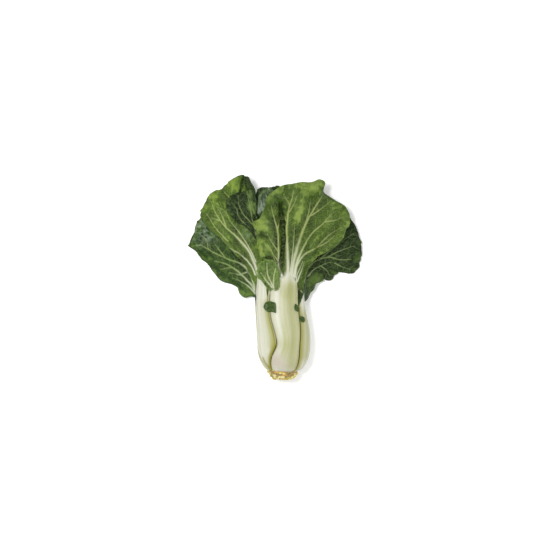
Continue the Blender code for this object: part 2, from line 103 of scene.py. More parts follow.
# Veins: points on a vein and on a soft line, a distance beyond which nothing counts, the width under which a
# vein is fainter, the two widths of a thin vein, and the finer veins at the side of the others
VEIN_SAMPLES = 20
LINE_SAMPLES = 24
FAR = 0.05
FAINT_WIDTH = 0.0008
THIN = (0.0009, 0.0004)
SIDE_VEIN_WIDTHS = (0.0007, 0.0004)
SIDE_VEIN_SPACING = 0.0085
SIDE_VEIN_LENGTH = 0.0125
SIDE_VEIN_TURNS = (60, 46, 30)

# Relief: dents as seed step, cells across the leaf and height, the flutes of a stalk as count, height and
# phase, and the margin. Near the margin, within its lively width, dents are up to twice as high.
PUFF = 0.0012
RIDGE = 0.0005
QUILT_WIDTH = 0.0038
DENTS = ((3, 16, 0.0009), (7, 40, 0.0005))
LIVELY_WIDTH = 0.010
PLEAT_HEIGHT = 0.0005
# Depth of a furrow at which its painted shade is full
FULL_FURROW = 0.0024
FLUTES = (2.5, 0.0005, 0.0)
RIB_COUNT = 13
RIB_HEIGHT = 0.00005
RAGGED_SEED_STEPS = (11, 13)
RAGGED_CELLS = 26
RAGGED_WIDTH = 0.007
RAGGED_DEPTH = 0.0008

# Tints: the ragged end of the stalk's white, the strip along the margin (a painted highlight on the front
# centre and small front leaves, darker on the others), and the strip along a stalk's edge
FADE_SEED_STEP = 17
FADE_CELLS = 36
WHITE_VEIN_WIDTH = 0.0026
RIM_WIDTH = 0.0009
FLANK_WIDTH = 0.0055


def through(knots, values, at):
    """Values on a smooth line that passes through the given values at the knots."""
    knots = np.asarray(knots, dtype=float)
    values = np.asarray(values, dtype=float)
    at = np.clip(at, knots[0], knots[-1])
    slopes = np.gradient(values, knots, axis=0)
    cell = np.clip(np.searchsorted(knots, at, side="right") - 1, 0, len(knots) - 2)
    span = knots[cell + 1] - knots[cell]
    t = (at - knots[cell]) / span
    while t.ndim < values[cell].ndim:
        t = t[..., None]
        span = span[..., None]
    start, end = values[cell], values[cell + 1]
    rise = span * slopes[cell]
    settle = span * slopes[cell + 1]
    return (start * (2 * t**3 - 3 * t**2 + 1) + rise * (t**3 - 2 * t**2 + t)
            + end * (3 * t**2 - 2 * t**3) + settle * (t**3 - t**2))


def along(points, at):
    """Points at fractions of the length of a smooth line through the given points."""
    points = np.asarray(points, dtype=float)
    steps = np.linalg.norm(np.diff(points, axis=0), axis=1)
    knots = np.concatenate([[0.0], np.cumsum(steps)]) / steps.sum()
    return through(knots, points, at)


def stretch_distance(x, y, start, end):
    """Distance in plan from each point to a straight stretch, and how far along it is nearest."""
    (ax, ay), (bx, by) = start, end
    length2 = max((bx - ax)**2 + (by - ay)**2, 1e-12)
    t = np.clip(((x - ax) * (bx - ax) + (y - ay) * (by - ay)) / length2, 0, 1)
    return np.hypot(x - ax - t * (bx - ax), y - ay - t * (by - ay)), t


def distance_to_line(x, y, line):
    """Distance in plan from each point to a line of straight stretches."""
    nearest = np.full(x.shape, np.inf)
    for start, end in zip(line[:-1], line[1:]):
        nearest = np.minimum(nearest, stretch_distance(x, y, start, end)[0])
    return nearest


def soft_line(x, y, width, line):
    """How much of a soft line each point is: 1 on the line, and less beyond its width."""
    smooth = along(line, np.linspace(0, 1, LINE_SAMPLES))
    return np.exp(-(distance_to_line(x, y, smooth) / width)**2)


def bundle_point(leaf, across, y, inset=0.0):
    """Points on the outer face of a stalk, across from 0 at its left edge to 1 at its right."""
    stations = np.array(BUNDLE)
    centre_x, centre_z, half_width, half_height = through(stations[:, 0], stations[:, 1:], y.T).T
    sector = np.array(leaf["sector"], dtype=float)
    left, right = through(sector[:, 0], sector[:, 1:], y.T).T
    angle = np.radians(left + (right - left) * across)
    crown = leaf["crown"] * np.minimum((right - left) / FULL_CROWN, 1) * (1 - (2 * across - 1)**2)
    x = centre_x + (half_width * leaf["ring"] + crown - inset) * np.sin(angle)
    z = centre_z + (half_height * leaf["ring"] + crown - inset) * np.cos(angle)
    return np.stack([x, y, np.maximum(z, 0.0)], axis=-1)


def stalk_end(leaf, across):
    """Distance along the bundle at which the stalk gives way to the blade."""
    return leaf["stalk_side"] + (leaf["stalk_top"] - leaf["stalk_side"]) * np.sin(math.pi * across)


def stalk_surface(leaf, across, rows):
    """Outer face of the stalk with its edges rounded, and its wall thickness at each point."""
    steps, sides = np.meshgrid(np.linspace(0, 1, rows), across, indexing="ij")
    y = leaf["stalk_from"] + (stalk_end(leaf, sides) - leaf["stalk_from"]) * steps
    scale = leaf.get("wall", 1.0)
    edge = np.abs(2 * sides - 1)**9
    drawn_in = FOOT_INSET * scale * np.clip((FOOT_FROM - y) / FOOT_LENGTH, 0, 1)**2
    points = bundle_point(leaf, sides, y, EDGE_ROUNDING * scale * edge + drawn_in)
    middle = 1 - (2 * sides - 1)**2
    wall = EDGE_THICKNESS * scale + (STALK_THICKNESS - EDGE_THICKNESS) * scale * middle
    width = np.linalg.norm(points[:, -1] - points[:, 0], axis=1)[:, None]
    wall = np.minimum(wall, width * NARROW_SHARE) * (1 - 0.6 * edge)
    taper = np.clip((steps - THIN_FROM) / (1 - THIN_FROM), 0, 1)
    return points, wall + (LEAF_THICKNESS - wall) * taper**1.5


def mean_around(grid):
    """Mean of the four neighbours of each inner point of a grid."""
    return (grid[:-2, 1:-1] + grid[2:, 1:-1] + grid[1:-1, :-2] + grid[1:-1, 2:]) / 4


def relax(points, passes):
    """Even out the inside of a grid whose margin stays as it is."""
    share = np.linspace(0, 1, points.shape[0])[1:-1, None, None]
    give = np.clip((share - STIFF_UNTIL) / (FREE_FROM - STIFF_UNTIL), LEAST_GIVE, 1)
    for _ in range(passes):
        points[1:-1, 1:-1] += (mean_around(points) - points[1:-1, 1:-1]) * give
    return points


def blade_sheet(leaf, across, rows, passes):
    """The blade before its waves. Its columns curve from the stalk's end to the far edge."""
    end = stalk_end(leaf, across)
    foot = bundle_point(leaf, across, end, BLADE_THICKNESS / 2)
    before = bundle_point(leaf, across, end - FOOT_STEP, BLADE_THICKNESS / 2)
    way = (foot - before) / np.linalg.norm(foot - before, axis=1)[:, None]
    foot = foot + way * BLADE_START
    left_shoulder, right_shoulder = leaf["shoulders"]
    outline = leaf["outline"]
    far_edge = along(outline[left_shoulder:right_shoulder + 1], across)
    reach = np.linalg.norm(far_edge - foot, axis=1)[:, None]
    first = foot + way * reach * (CURVE_START + CURVE_BULGE * np.sin(math.pi * across))[:, None]
    second = far_edge + (first - far_edge) * 0.5
    steps = np.linspace(0, 1, rows)
    t = steps[:, None, None]
    points = foot * (1 - t)**3 + first * 3 * t * (1 - t)**2 + second * 3 * t**2 * (1 - t) + far_edge * t**3
    clear = foot + way * reach * SIDE_START
    left_side = along([foot[0], clear[0]] + outline[:left_shoulder + 1], steps)
    right_side = along([foot[-1], clear[-1]] + outline[:right_shoulder - 1:-1], steps)
    left_pull = (left_side - points[:, 0])[:, None]
    right_pull = (right_side - points[:, -1])[:, None]
    share = across**2 * (3 - 2 * across)
    points = points + left_pull * (1 - share)[None, :, None] + right_pull * share[None, :, None]
    return relax(points, passes)


def shape_blade(leaf, points, across, steps):
    """Arch, waves and folds of a blade."""
    t = steps[:, None]
    points[:, :, 2] += leaf["arch"] * 4 * t * (1 - t) * np.sin(math.pi * across)
    inside = np.minimum(np.minimum(across, 1 - across) * 2, 1)
    edge = np.maximum(t, (1 - inside) * np.minimum(t * 3, 1))
    for count, height, phase in leaf["waves"]:
        turn = count * (across * (0.5 + 0.5 * t) + 0.25 * (1 - t)) + 1.5 * t
        points[:, :, 2] += height * edge**2.2 * np.sin(2 * math.pi * turn + phase)
    for width, depth, line in leaf.get("folds", []):
        away = distance_to_line(points[:, :, 0], points[:, :, 1], line)
        points[:, :, 2] -= depth * np.exp(-(away / width)**2) * np.clip(t * 4, 0, 1)
    return points


def refine(values, rows, columns):
    """Values of a coarse grid on a fine one, by smooth lines both ways."""
    coarse_rows, coarse_columns = values.shape[:2]
    fine = through(np.linspace(0, 1, coarse_rows), values, np.linspace(0, 1, rows))
    fine = through(np.linspace(0, 1, coarse_columns), np.swapaxes(fine, 0, 1), np.linspace(0, 1, columns))
    return np.swapaxes(fine, 0, 1)


def crumple(seed, rows, columns, cells):
    """Gentle random dents between -1 and 1, about this many across a leaf."""
    draw = np.random.default_rng(seed).uniform(-1, 1, (cells, cells))
    return refine(draw, rows, columns)


def places_of(mesh):
    """Places of the vertices of a mesh."""
    flat = np.zeros(len(mesh.vertices) * 3)
    mesh.vertices.foreach_get("co", flat)
    return flat.reshape(-1, 3)


def tree_of(obj):
    """The faces of an object, for laying a leaf on them."""
    faces = [face.vertices[:] for face in obj.data.polygons]
    return BVHTree.FromPolygons(places_of(obj.data).tolist(), faces)


def trees_of(names):
    """The solids of these leaves."""
    return [tree_of(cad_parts[part + name]) for name in names for part in ("stalk_", "blade_")]


def height_under(x, y, trees):
    """Height of the highest surface at a place, or below the ground where there is none."""
    height = -1.0
    for tree in trees:
        hit = tree.ray_cast(Vector((x, y, 1.0)), Vector((0, 0, -1)))[0]
        if hit is not None:
            height = max(height, hit.z)
    return height


def soften(lift, passes):
    """Ease a lift down to its surroundings, without lowering it anywhere."""
    for _ in range(passes):
        around = mean_around(np.pad(lift, 1, mode="edge"))
        lift[1:] = np.maximum(lift[1:], around[1:])
    return lift


def lift_over(points, trees, play):
    """How far a sheet has to rise at each point to keep the play above all that lies under it."""
    rows, columns = points.shape[:2]
    lift = np.zeros((rows, columns))
    parts = np.linspace(0, 1, LAY_SAMPLES)
    for row in range(rows - 1):
        for column in range(columns - 1):
            corners = points[row:row + 2, column:column + 2]
            need = 0.0
            for a in parts:
                for b in parts:
                    x, y, z = ((corners[0, 0] * (1 - b) + corners[0, 1] * b) * (1 - a)
                               + (corners[1, 0] * (1 - b) + corners[1, 1] * b) * a)
                    need = max(need, height_under(x, y, trees) + play - z)
            cell = lift[row:row + 2, column:column + 2]
            cell[:] = np.maximum(cell, need)
    return soften(lift, LIFT_PASSES)


def normals_of(points):
    """Outward directions of a grid of points."""
    out = np.cross(np.gradient(points, axis=1), np.gradient(points, axis=0))
    return out / np.maximum(np.linalg.norm(out, axis=2, keepdims=True), 1e-12)


def vein_masks(x, y, veins):
    """Veins: how much of a vein each point is, and how far it is from the nearest. Roots come first."""
    strength = np.zeros(x.shape)
    nearest = np.full(x.shape, FAR)
    for start_width, end_width, line in veins:
        line = along(line, np.linspace(0, 1, VEIN_SAMPLES))
        count = len(line) - 1
        for index in range(count):
            away, t = stretch_distance(x, y, line[index], line[index + 1])
            width = start_width + (end_width - start_width) * (index + t) / count
            strength = np.maximum(strength, np.exp(-(away / width)**2) * np.minimum(1, width / FAINT_WIDTH))
            nearest = np.minimum(nearest, away)
    return strength, nearest


def side_veins(veins, seed):
    """Finer veins that leave the main ones on both sides and bend towards the margin."""
    draw = np.random.default_rng(seed)
    found = []
    for _, _, line in veins:
        whole = np.linalg.norm(np.diff(np.array(line), axis=0), axis=1).sum()
        for side in (-1, 1):
            place = draw.uniform(0.2, 0.9) * SIDE_VEIN_SPACING / whole
            while place < 0.96:
                here, ahead = along(line, np.array([place, min(place + 0.04, 1.0)]))
                way = (ahead - here) / max(np.linalg.norm(ahead - here), 1e-9)
                reach = SIDE_VEIN_LENGTH * draw.uniform(0.7, 1.25)
                points = [here]
                for turn in SIDE_VEIN_TURNS:
                    angle = math.radians(turn + draw.uniform(-8, 8)) * side
                    step = np.array([way[0] * math.cos(angle) - way[1] * math.sin(angle),
                                     way[0] * math.sin(angle) + way[1] * math.cos(angle)])
                    points.append(points[-1] + step * reach / len(SIDE_VEIN_TURNS))
                found.append((*SIDE_VEIN_WIDTHS, points))
                place += SIDE_VEIN_SPACING / whole * draw.uniform(0.8, 1.25)
    return found


def spots(x, y, places):
    """Soft round spots added up, each given as its centre x and y, radius and amount."""
    total = np.zeros(x.shape)
    for centre_x, centre_y, radius, amount in places:
        total += amount * np.exp(-((x - centre_x)**2 + (y - centre_y)**2) / radius**2)
    return total


def add_layers(mesh, layers):
    """Values at each vertex of a mesh, which its finish reads."""
    for name, values in layers.items():
        layer = mesh.attributes.new(name, "FLOAT", "POINT")
        layer.data.foreach_set("value", values.astype(np.float32))


def leaf_mesh(name, points, walls, masks):
    """A closed leaf: a grid laid through the points, with its wall grown inwards."""
    rows, columns = points.shape[:2]
    bpy.ops.object.select_all(action="DESELECT")
    bpy.ops.mesh.primitive_grid_add(x_subdivisions=columns - 1, y_subdivisions=rows - 1, size=2.0,
                                    calc_uvs=True, location=(0, 0, 0))
    piece = bpy.context.object
    piece.name = name
    mesh = piece.data
    mesh.name = name
    flat = places_of(mesh)
    column = np.rint((flat[:, 0] + 1) / 2 * (columns - 1)).astype(int)
    row = np.rint((flat[:, 1] + 1) / 2 * (rows - 1)).astype(int)
    mesh.vertices.foreach_set("co", points[row, column].reshape(-1))
    add_layers(mesh, {mask_name: mask[row, column] for mask_name, mask in masks.items()})
    group = piece.vertex_groups.new(name="wall")
    wall = walls[row, column] / walls.max()
    for step in range(1, WALL_STEPS + 1):
        chosen = np.flatnonzero(np.rint(wall * WALL_STEPS) == step)
        if len(chosen):
            group.add(chosen.tolist(), step / WALL_STEPS, "REPLACE")
    solid = piece.modifiers.new("wall", "SOLIDIFY")
    solid.thickness = float(walls.max())
    solid.offset = -1.0
    solid.use_rim = True
    solid.vertex_group = group.name
    bpy.ops.object.modifier_apply(modifier=solid.name)
    bpy.ops.object.shade_smooth()
    return piece


def way_over(points):
    """Distance of each point from the left end of its row, measured along the row."""
    return np.pad(np.cumsum(np.linalg.norm(np.diff(points, axis=1), axis=2), axis=1), ((0, 0), (1, 0)))


def margin_distance(points):
    """Distance of each point of a blade from its margin, measured along its rows and columns."""
    from_left = way_over(points)
    up = np.linalg.norm(np.diff(points, axis=0), axis=2)
    from_foot = np.pad(np.cumsum(up, axis=0), ((1, 0), (0, 0)))
    return np.minimum(np.minimum(from_left, from_left[:, -1:] - from_left), from_foot[-1:] - from_foot)


def clear_of(points, trees):
    """Raise the fine blade where it would touch the finished leaves below it."""
    rows, columns = points.shape[:2]
    lift = np.zeros((rows, columns))
    for row in range(0, rows, 2):
        for column in range(0, columns, 2):
            x, y, z = points[row, column]
            need = max(height_under(x, y, trees) + FINE_GAP - z, 0.0)
            cell = lift[max(row - 1, 0):row + 2, max(column - 1, 0):column + 2]
            cell[:] = np.maximum(cell, need)
    lift *= np.clip(np.arange(rows) / CLEAR_ROWS, 0, 1)[:, None]
    points[:, :, 2] += soften(lift, CLEAR_PASSES)


def fine_blade(leaf, rows, columns):
    """The blade on a fine grid, drawn to its exact outline and laid on the solids before it."""
    across = np.linspace(0, 1, columns)
    steps = np.linspace(0, 1, rows)
    coarse_across = np.linspace(0, 1, leaf["columns"])
    sheet = blade_sheet(leaf, coarse_across, leaf["rows"], RELAX_PASSES)
    solid = shape_blade(leaf, sheet.copy(), coarse_across, np.linspace(0, 1, leaf["rows"]))
    lift = lift_over(solid, trees_of(finished), LAYER_GAP)

    blade = refine(sheet, rows, columns)
    exact = blade_sheet(leaf, across, rows, 0)
    t = steps[:, None, None]
    blade = blade + (exact[-1] - blade[-1])[None] * np.clip((t - (1 - TIP_BLEND)) / TIP_BLEND, 0, 1)**2
    for edge, inwards in ((0, across), (-1, 1 - across)):
        near = np.clip(1 - inwards / SIDE_BLEND, 0, 1)[None, :, None]**2
        blade = blade + (exact[:, edge] - blade[:, edge])[:, None] * near * np.clip((0.98 - t) * 12, 0, 1)
    blade = blade + (exact[0] - blade[0])[None] * np.clip(1 - t / FOOT_BLEND, 0, 1)

    blade = shape_blade(leaf, blade, across, steps)
    blade[:, :, 2] += np.maximum(refine(lift, rows, columns), 0)
    return blade + normals_of(blade) * LEAF_THICKNESS / 2


# Finished leaves by name, in the order in which they are laid
finished = {}


def make_leaf(name, leaf, veins, finish):
    """One leaf, stalk and blade together, laid on all leaves before it. It replaces both its solids."""
    columns, rows, stalk_rows = leaf["grid"]
    across = np.linspace(0, 1, columns)
    stalk, stalk_walls = stalk_surface(leaf, across, stalk_rows)
    points = np.concatenate([stalk, fine_blade(leaf, rows, columns)[1:]])
    walls = np.concatenate([stalk_walls, np.full((rows - 1, columns), LEAF_THICKNESS)])
    x, y = points[:, :, 0], points[:, :, 1]

    def dent(seed_step, cells):
        return crumple(len(name) + seed_step, len(x), columns, cells)

    # Share of the blade's length, share of the stalk's length, and distance from the margin
    share = np.concatenate([np.zeros(stalk_rows), np.linspace(0, 1, rows)[1:]])[:, None] * np.ones_like(x)
    climb = np.concatenate([np.linspace(0, 1, stalk_rows), np.ones(rows - 1)])[:, None]
    rim = np.full(x.shape, FAR)
    rim[stalk_rows:] = margin_distance(points[stalk_rows - 1:])[1:]

    # Relief of the blade: quilting between the veins, veins, dents that grow to the margin, pleats, furrows
    strength, nearest = vein_masks(x, y, veins)
    fine_strength, fine_nearest = vein_masks(x, y, side_veins(veins, len(name)))
    quilt = 1 - np.exp(-(np.minimum(nearest, fine_nearest * 1.3) / QUILT_WIDTH)**2)
    free = np.clip(share * 4, 0, 1)
    pleats = np.sin(2 * math.pi * leaf.get("pleats", 9) * across + 3 * np.sin(5 * across))[None, :]
    pleats = pleats * np.clip(share * 3, 0, 1) * np.clip((1 - share) * 4, 0.25, 1)
    relief = (leaf.get("puff", PUFF) * quilt + leaf.get("ridge", RIDGE) * strength) * free
    dents = sum(dent(seed_step, cells) * height for seed_step, cells, height in DENTS)
    relief += dents * free * (1 + np.clip(1 - rim / LIVELY_WIDTH, 0, 1)) + pleats * PLEAT_HEIGHT
    # Each furrow also darkens the colour: painted shade in its crease
    furrow = np.zeros(x.shape)
    begun = np.clip(share * 12, 0, 1)
    for width, depth, line in leaf.get("furrows", []):
        near = soft_line(x, y, width, line)
        furrow = np.maximum(furrow, near * begun * min(depth / FULL_FURROW, 1))
        relief -= depth * near * begun

    # Relief of the stalk: broad flutes and fine ribs
    count, height, phase = leaf.get("flutes", FLUTES)
    flutes = np.cos(2 * math.pi * count * (across - 0.5) + phase)[None, :] * height
    ribs = np.cos(2 * math.pi * RIB_COUNT * (across - 0.5) + 2 * np.sin(9 * across))[None, :] * RIB_HEIGHT
    scale = leaf.get("wall", 1.0)
    relief += (flutes + ribs) * scale * np.clip(climb * 5, 0, 1) * np.clip(1 - share * 6, 0, 1)
    points = points + normals_of(points) * relief[:, :, None]
    ragged = np.exp(-(rim / RAGGED_WIDTH)**2) * RAGGED_DEPTH
    for axis, seed_step in enumerate(RAGGED_SEED_STEPS):
        points[:, :, axis] += dent(seed_step, RAGGED_CELLS) * ragged
    points[:, :, 2] = np.maximum(points[:, :, 2], 0.0)
    clear_of(points[stalk_rows:], list(finished.values()))

    # How far the stalk's white runs out into the blade, further in the middle and along the veins
    reach = leaf.get("fade", 0.08) * (0.45 + 0.55 * np.sin(math.pi * across))[None, :]
    reach = reach * (0.6 + 0.9 * np.exp(-(nearest / WHITE_VEIN_WIDTH)**2))
    reach = reach * (1 + 0.6 * dent(FADE_SEED_STEP, FADE_CELLS))
    pale = np.clip(1 - share / reach, 0, 1)
    pale *= np.clip(1 - spots(x, y, leaf.get("greens", [])), 0, 1)

    # Tint along the stalk's edges and seams, and lighter and darker places: some are the leaf's own tone,
    # many are painted light and shade, and the quilting and pleats are lit and shaded in colour
    over = way_over(points)
    left_flank, right_flank = leaf.get("flanks", (0.3, 0.3))
    flank = (left_flank * np.exp(-(over / FLANK_WIDTH)**2)
             + right_flank * np.exp(-((over[:, -1:] - over) / FLANK_WIDTH)**2))
    for width, amount, line in leaf.get("seams", []):
        flank += amount * soft_line(x, y, width, line)
    tone = spots(x, y, leaf.get("tone_and_shade_spots", [])) + ((quilt - 0.55) * 0.45 + pleats * 0.10) * free
    for width, amount, line in leaf.get("tone_and_shade_lines", []):
        tone += amount * soft_line(x, y, width, line)

    masks = {"vein": strength, "fine_vein": fine_strength, "pale": pale, "tone": tone, "flank": flank,
             "out": np.clip(share * leaf.get("whiten", 1.8), 0, 1), "rim": np.exp(-(rim / RIM_WIDTH)**2),
             "furrow": furrow, "bloom": spots(x, y, leaf.get("sheen_and_bloom_spots", [])),
             "blush": spots(x, y, leaf.get("lilac_shade_spots", []))}
    piece = leaf_mesh("leaf_" + name, points, walls, masks)
    piece.data.materials.append(finish)
    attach(piece, "root")
    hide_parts("stalk_" + name, "blade_" + name)
    finished[name] = tree_of(piece)


# Sockets of a node that mixes colours, by place because their names repeat, and the scale of the fine net
# of veins
MIX_SHARE, MIX_FIRST, MIX_SECOND, MIX_COLOUR = 0, 6, 7, 2
NET_SCALE = 230.0


class Wire:
    """A socket of a material, so that shader maths reads as ordinary sums."""

    def __init__(self, tree, socket=None):
        self.tree = tree
        self.socket = socket

    def feed(self, node, sockets):
        """Give sockets of a node their values or wires."""
        for key, value in sockets.items():
            if isinstance(value, Wire):
                self.tree.links.new(value.socket, node.inputs[key])
            else:
                node.inputs[key].default_value = value

    def add(self, kind, settings, sockets, output=0):
        """Any node: its type, its settings, and the values or wires of its sockets."""
        node = self.tree.nodes.new(kind)
        for key, value in settings.items():
            if key == "stops":
                ramp = node.color_ramp
                while len(ramp.elements) < len(value):
                    ramp.elements.new(0.5)
                for element, (position, colour) in zip(ramp.elements, value):
                    element.position = position
                    element.color = colour
            else:
                setattr(node, key, value)
        self.feed(node, sockets)
        return Wire(self.tree, node.outputs[output])

    def sum(self, operation, first, second):
        return self.add("ShaderNodeMath", {"operation": operation}, {0: first, 1: second})

    def __add__(self, other):
        return self.sum("ADD", self, other)

    def __radd__(self, other):
        return self.sum("ADD", other, self)

    def __sub__(self, other):
        return self.sum("SUBTRACT", self, other)

    def __rsub__(self, other):
        return self.sum("SUBTRACT", other, self)

    def __mul__(self, other):
        return self.sum("MULTIPLY", self, other)

    def __rmul__(self, other):
        return self.sum("MULTIPLY", other, self)

    def clamp(self):
        return self.add("ShaderNodeClamp", {}, {"Value": self})

    def mix(self, first, second):
        """A colour between two, by this wire as the share of the second."""
        return self.add("ShaderNodeMix", {"data_type": "RGBA"},
                        {MIX_SHARE: self, MIX_FIRST: first, MIX_SECOND: second}, MIX_COLOUR)

    def noise(self, place, scale, detail):
        return self.add("ShaderNodeTexNoise", {}, {"Vector": place, "Scale": scale, "Detail": detail})

    def mask(self, name):
        """Values that a mesh carries at its vertices."""
        return self.add("ShaderNodeAttribute", {"attribute_name": name}, {}, "Fac")

    def bump(self, strength, distance, height):
        return self.add("ShaderNodeBump", {}, {"Strength": strength, "Distance": distance, "Height": height})


# Light that falls on the scene's level surfaces, against a white that just fills the picture
LIGHT = 1.40


def seen(red, green, blue):
    """The colour of a surface that looks like this on screen, 0 to 255, in the light of this scene."""
    return tuple(((value / 255 + 0.055) / 1.055)**2.4 / LIGHT for value in (red, green, blue)) + (1.0,)


def new_finish(name, specular):
    """An empty finish: its shader, a first wire and its places in space and on the sheet."""
    made = bpy.data.materials.new(name)
    made.use_nodes = True
    shader = made.node_tree.nodes["Principled BSDF"]
    start = Wire(made.node_tree)
    start.feed(shader, {"Specular IOR Level": specular})
    place = start.add("ShaderNodeTexCoord", {}, {}, "Object")
    sheet = start.add("ShaderNodeTexCoord", {}, {}, "UV")
    return made, shader, start, place, sheet


VEIN_WHITE = seen(236, 236, 214)
STALK_WHITE = seen(241, 241, 230)
STALK_CREAM = seen(190, 192, 138)
STALK_OLIVE_AND_SHADE = seen(176, 178, 118)
STALK_GREEN = seen(156, 152, 62)
STALK_LILAC_SHADE = seen(210, 202, 184)
SHEEN_AND_BLOOM_GREY = seen(152, 168, 144)


def leaf_finish(name, dark, mid, light, vein, rim):
    """White ribbed stalk that runs out along pale veins into a waxy green blade with a fine net of veins."""
    made, shader, start, place, sheet = new_finish(name, 0.10)
    drift = start.noise(place, 70.0, 2.0)
    mottle = start.noise(place, 190.0, 2.0)
    wander = start.add("ShaderNodeTexNoise", {}, {"Vector": place, "Scale": 140.0}, "Color")
    bend = start.add("ShaderNodeVectorMath", {"operation": "SCALE"}, {0: wander, "Scale": 0.006})
    bent = start.add("ShaderNodeVectorMath", {"operation": "ADD"}, {0: place, 1: bend})
    cells = start.add("ShaderNodeTexVoronoi", {"feature": "DISTANCE_TO_EDGE"},
                      {"Vector": bent, "Scale": NET_SCALE})
    net = (1 - cells * 11).clamp()
    fine = start.mask("fine_vein")
    tone = start.mask("tone")
    pale = start.mask("pale")
    out = start.mask("out")

    # Blade
    # The tone mask lightens and darkens the blade: partly its own tone, partly painted light and shade
    green = (0.53 + (drift - 0.5) * 0.7 + (mottle - 0.5) * 0.55 + tone * (0.3 + mottle * 1.3)).clamp()
    low = (green * 2).clamp().mix(seen(*dark), seen(*mid))
    leaf = (green * 2 - 1).clamp().mix(low, seen(*light))
    leaf = (net * 0.13).mix(leaf, seen(*vein))
    # Furrows darkened past the darkest green: painted shade in the creases
    leaf = (start.mask("furrow") * 0.85).clamp().mix(leaf, seen(*[value * 0.72 for value in dark]))
    leaf = (fine * 0.30).clamp().mix(leaf, seen(*vein))
    leaf = (start.mask("vein") * (1.0 - out * 0.22)).clamp().mix(leaf, out.mix(VEIN_WHITE, seen(*vein)))
    # A thin strip along the margin: a painted highlight on the front centre and small front leaves, darker
    # on the others
    leaf = (start.mask("rim") * 0.5).mix(leaf, seen(*rim))
    # Grey patches: partly the waxy bloom, partly painted sheen where the glossy leaf catches the light
    sheen = (start.mask("bloom") * (0.6 + (mottle - 0.5) * 4.5 + (drift - 0.5) * 2)).clamp()
    leaf = sheen.mix(leaf, SHEEN_AND_BLOOM_GREY)

    # Stalk, with streaks and broader bands along it
    stretched = start.add("ShaderNodeMapping", {}, {"Vector": sheet, "Scale": (60.0, 1.8, 1.0)})
    streak = start.noise(stretched, 1.0, 3.0)
    broad = start.add("ShaderNodeMapping", {}, {"Vector": sheet, "Scale": (7.0, 1.1, 1.0)})
    band = start.noise(broad, 1.0, 1.0)
    clean = (0.66 + (streak - 0.5) * 0.35 + (band - 0.5) * 1.3 + tone).clamp()
    white = clean.mix(STALK_CREAM, STALK_WHITE)
    # Lilac-beige at the foot of the centre stalk: painted shade
    white = start.mask("blush").clamp().mix(white, STALK_LILAC_SHADE)
    # Where the tone is negative the stalk goes olive: painted shade on its sides away from the light, with
    # some of its own olive
    white = (tone * -1).clamp().mix(white, STALK_OLIVE_AND_SHADE)
    white = start.mask("flank").clamp().mix(white, STALK_GREEN)
    whole = (pale * 1.35 - 0.2 + (streak - 0.5) * (1 - pale) * 4.5 * pale).clamp().mix(leaf, white)

    crinkle = start.noise(bent, NET_SCALE, 1.0)
    height = net * -0.25 + (crinkle * 1.6 + fine * 0.35) * (1 - pale) + streak * pale * 0.4
    start.feed(shader, {"Base Color": whole, "Normal": start.bump(0.6, 0.0011, height),
                        "Roughness": 0.46 - pale * 0.10 + (mottle - 0.5) * 0.15})
    return made


UNDER_LEFT = dict(
    sector=[(-0.054, -208, -152), (0.0, -208, -148), (0.070, -200, -136.5)],
    stalk_from=-0.054, stalk_side=0.046, stalk_top=0.064, crown=0.0, ring=1.0,
    outline=[(0.002, 0.074, 0.004), (0.002, 0.098, 0.005), (0.001, 0.124, 0.006),
             (-0.003, 0.150, 0.006), (-0.012, 0.174, 0.006), (-0.026, 0.193, 0.005),
             (-0.044, 0.203, 0.004), (-0.064, 0.204, 0.003), (-0.088, 0.190, 0.003),
             (-0.112, 0.171, 0.003), (-0.130, 0.150, 0.003), (-0.139, 0.130, 0.0035),
             (-0.127, 0.124, 0.0025), (-0.110, 0.115, 0.0014), (-0.091, 0.102, 0.0014),
             (-0.069, 0.088, 0.0014), (-0.047, 0.074, 0.003), (-0.032, 0.063, 0.0045)],
    shoulders=(5, 11), arch=0.0, waves=[(5.0, 0.0012, 0.5)],
    columns=19, rows=8, fade=0.10, grid=(120, 90, 50))

UNDER_RIGHT = dict(
    sector=[(-0.054, 100.5, 150.5), (0.0, 94, 150.5), (0.070, 114.5, 158.5)],
    stalk_from=-0.054, stalk_side=0.040, stalk_top=0.058, crown=0.001, ring=1.0,
    outline=[(0.031, 0.058, 0.011), (0.038, 0.074, 0.006), (0.050, 0.084, 0.003),
             (0.064, 0.093, 0.0014), (0.082, 0.101, 0.0014), (0.095, 0.114, 0.0014),
             (0.098, 0.134, 0.0014), (0.089, 0.156, 0.0025), (0.070, 0.175, 0.003),
             (0.048, 0.190, 0.003), (0.029, 0.190, 0.004), (0.018, 0.174, 0.005),
             (0.012, 0.150, 0.006), (0.009, 0.124, 0.006), (0.009, 0.101, 0.006),
             (0.008, 0.077, 0.006)],
    shoulders=(5, 10), arch=0.0, waves=[(5.0, 0.0012, 1.5)],
    columns=19, rows=8, fade=0.08, grid=(120, 90, 50))

UNDER_GREEN = leaf_finish("under_leaf", (24, 42, 14), (52, 82, 32), (92, 120, 50), (150, 176, 100),
                          (28, 46, 16))

# Veins of a leaf that is hardly seen: the cells of its sheet, and its pairs of side veins
FAN_CELLS = 41
FAN_PAIRS = 5


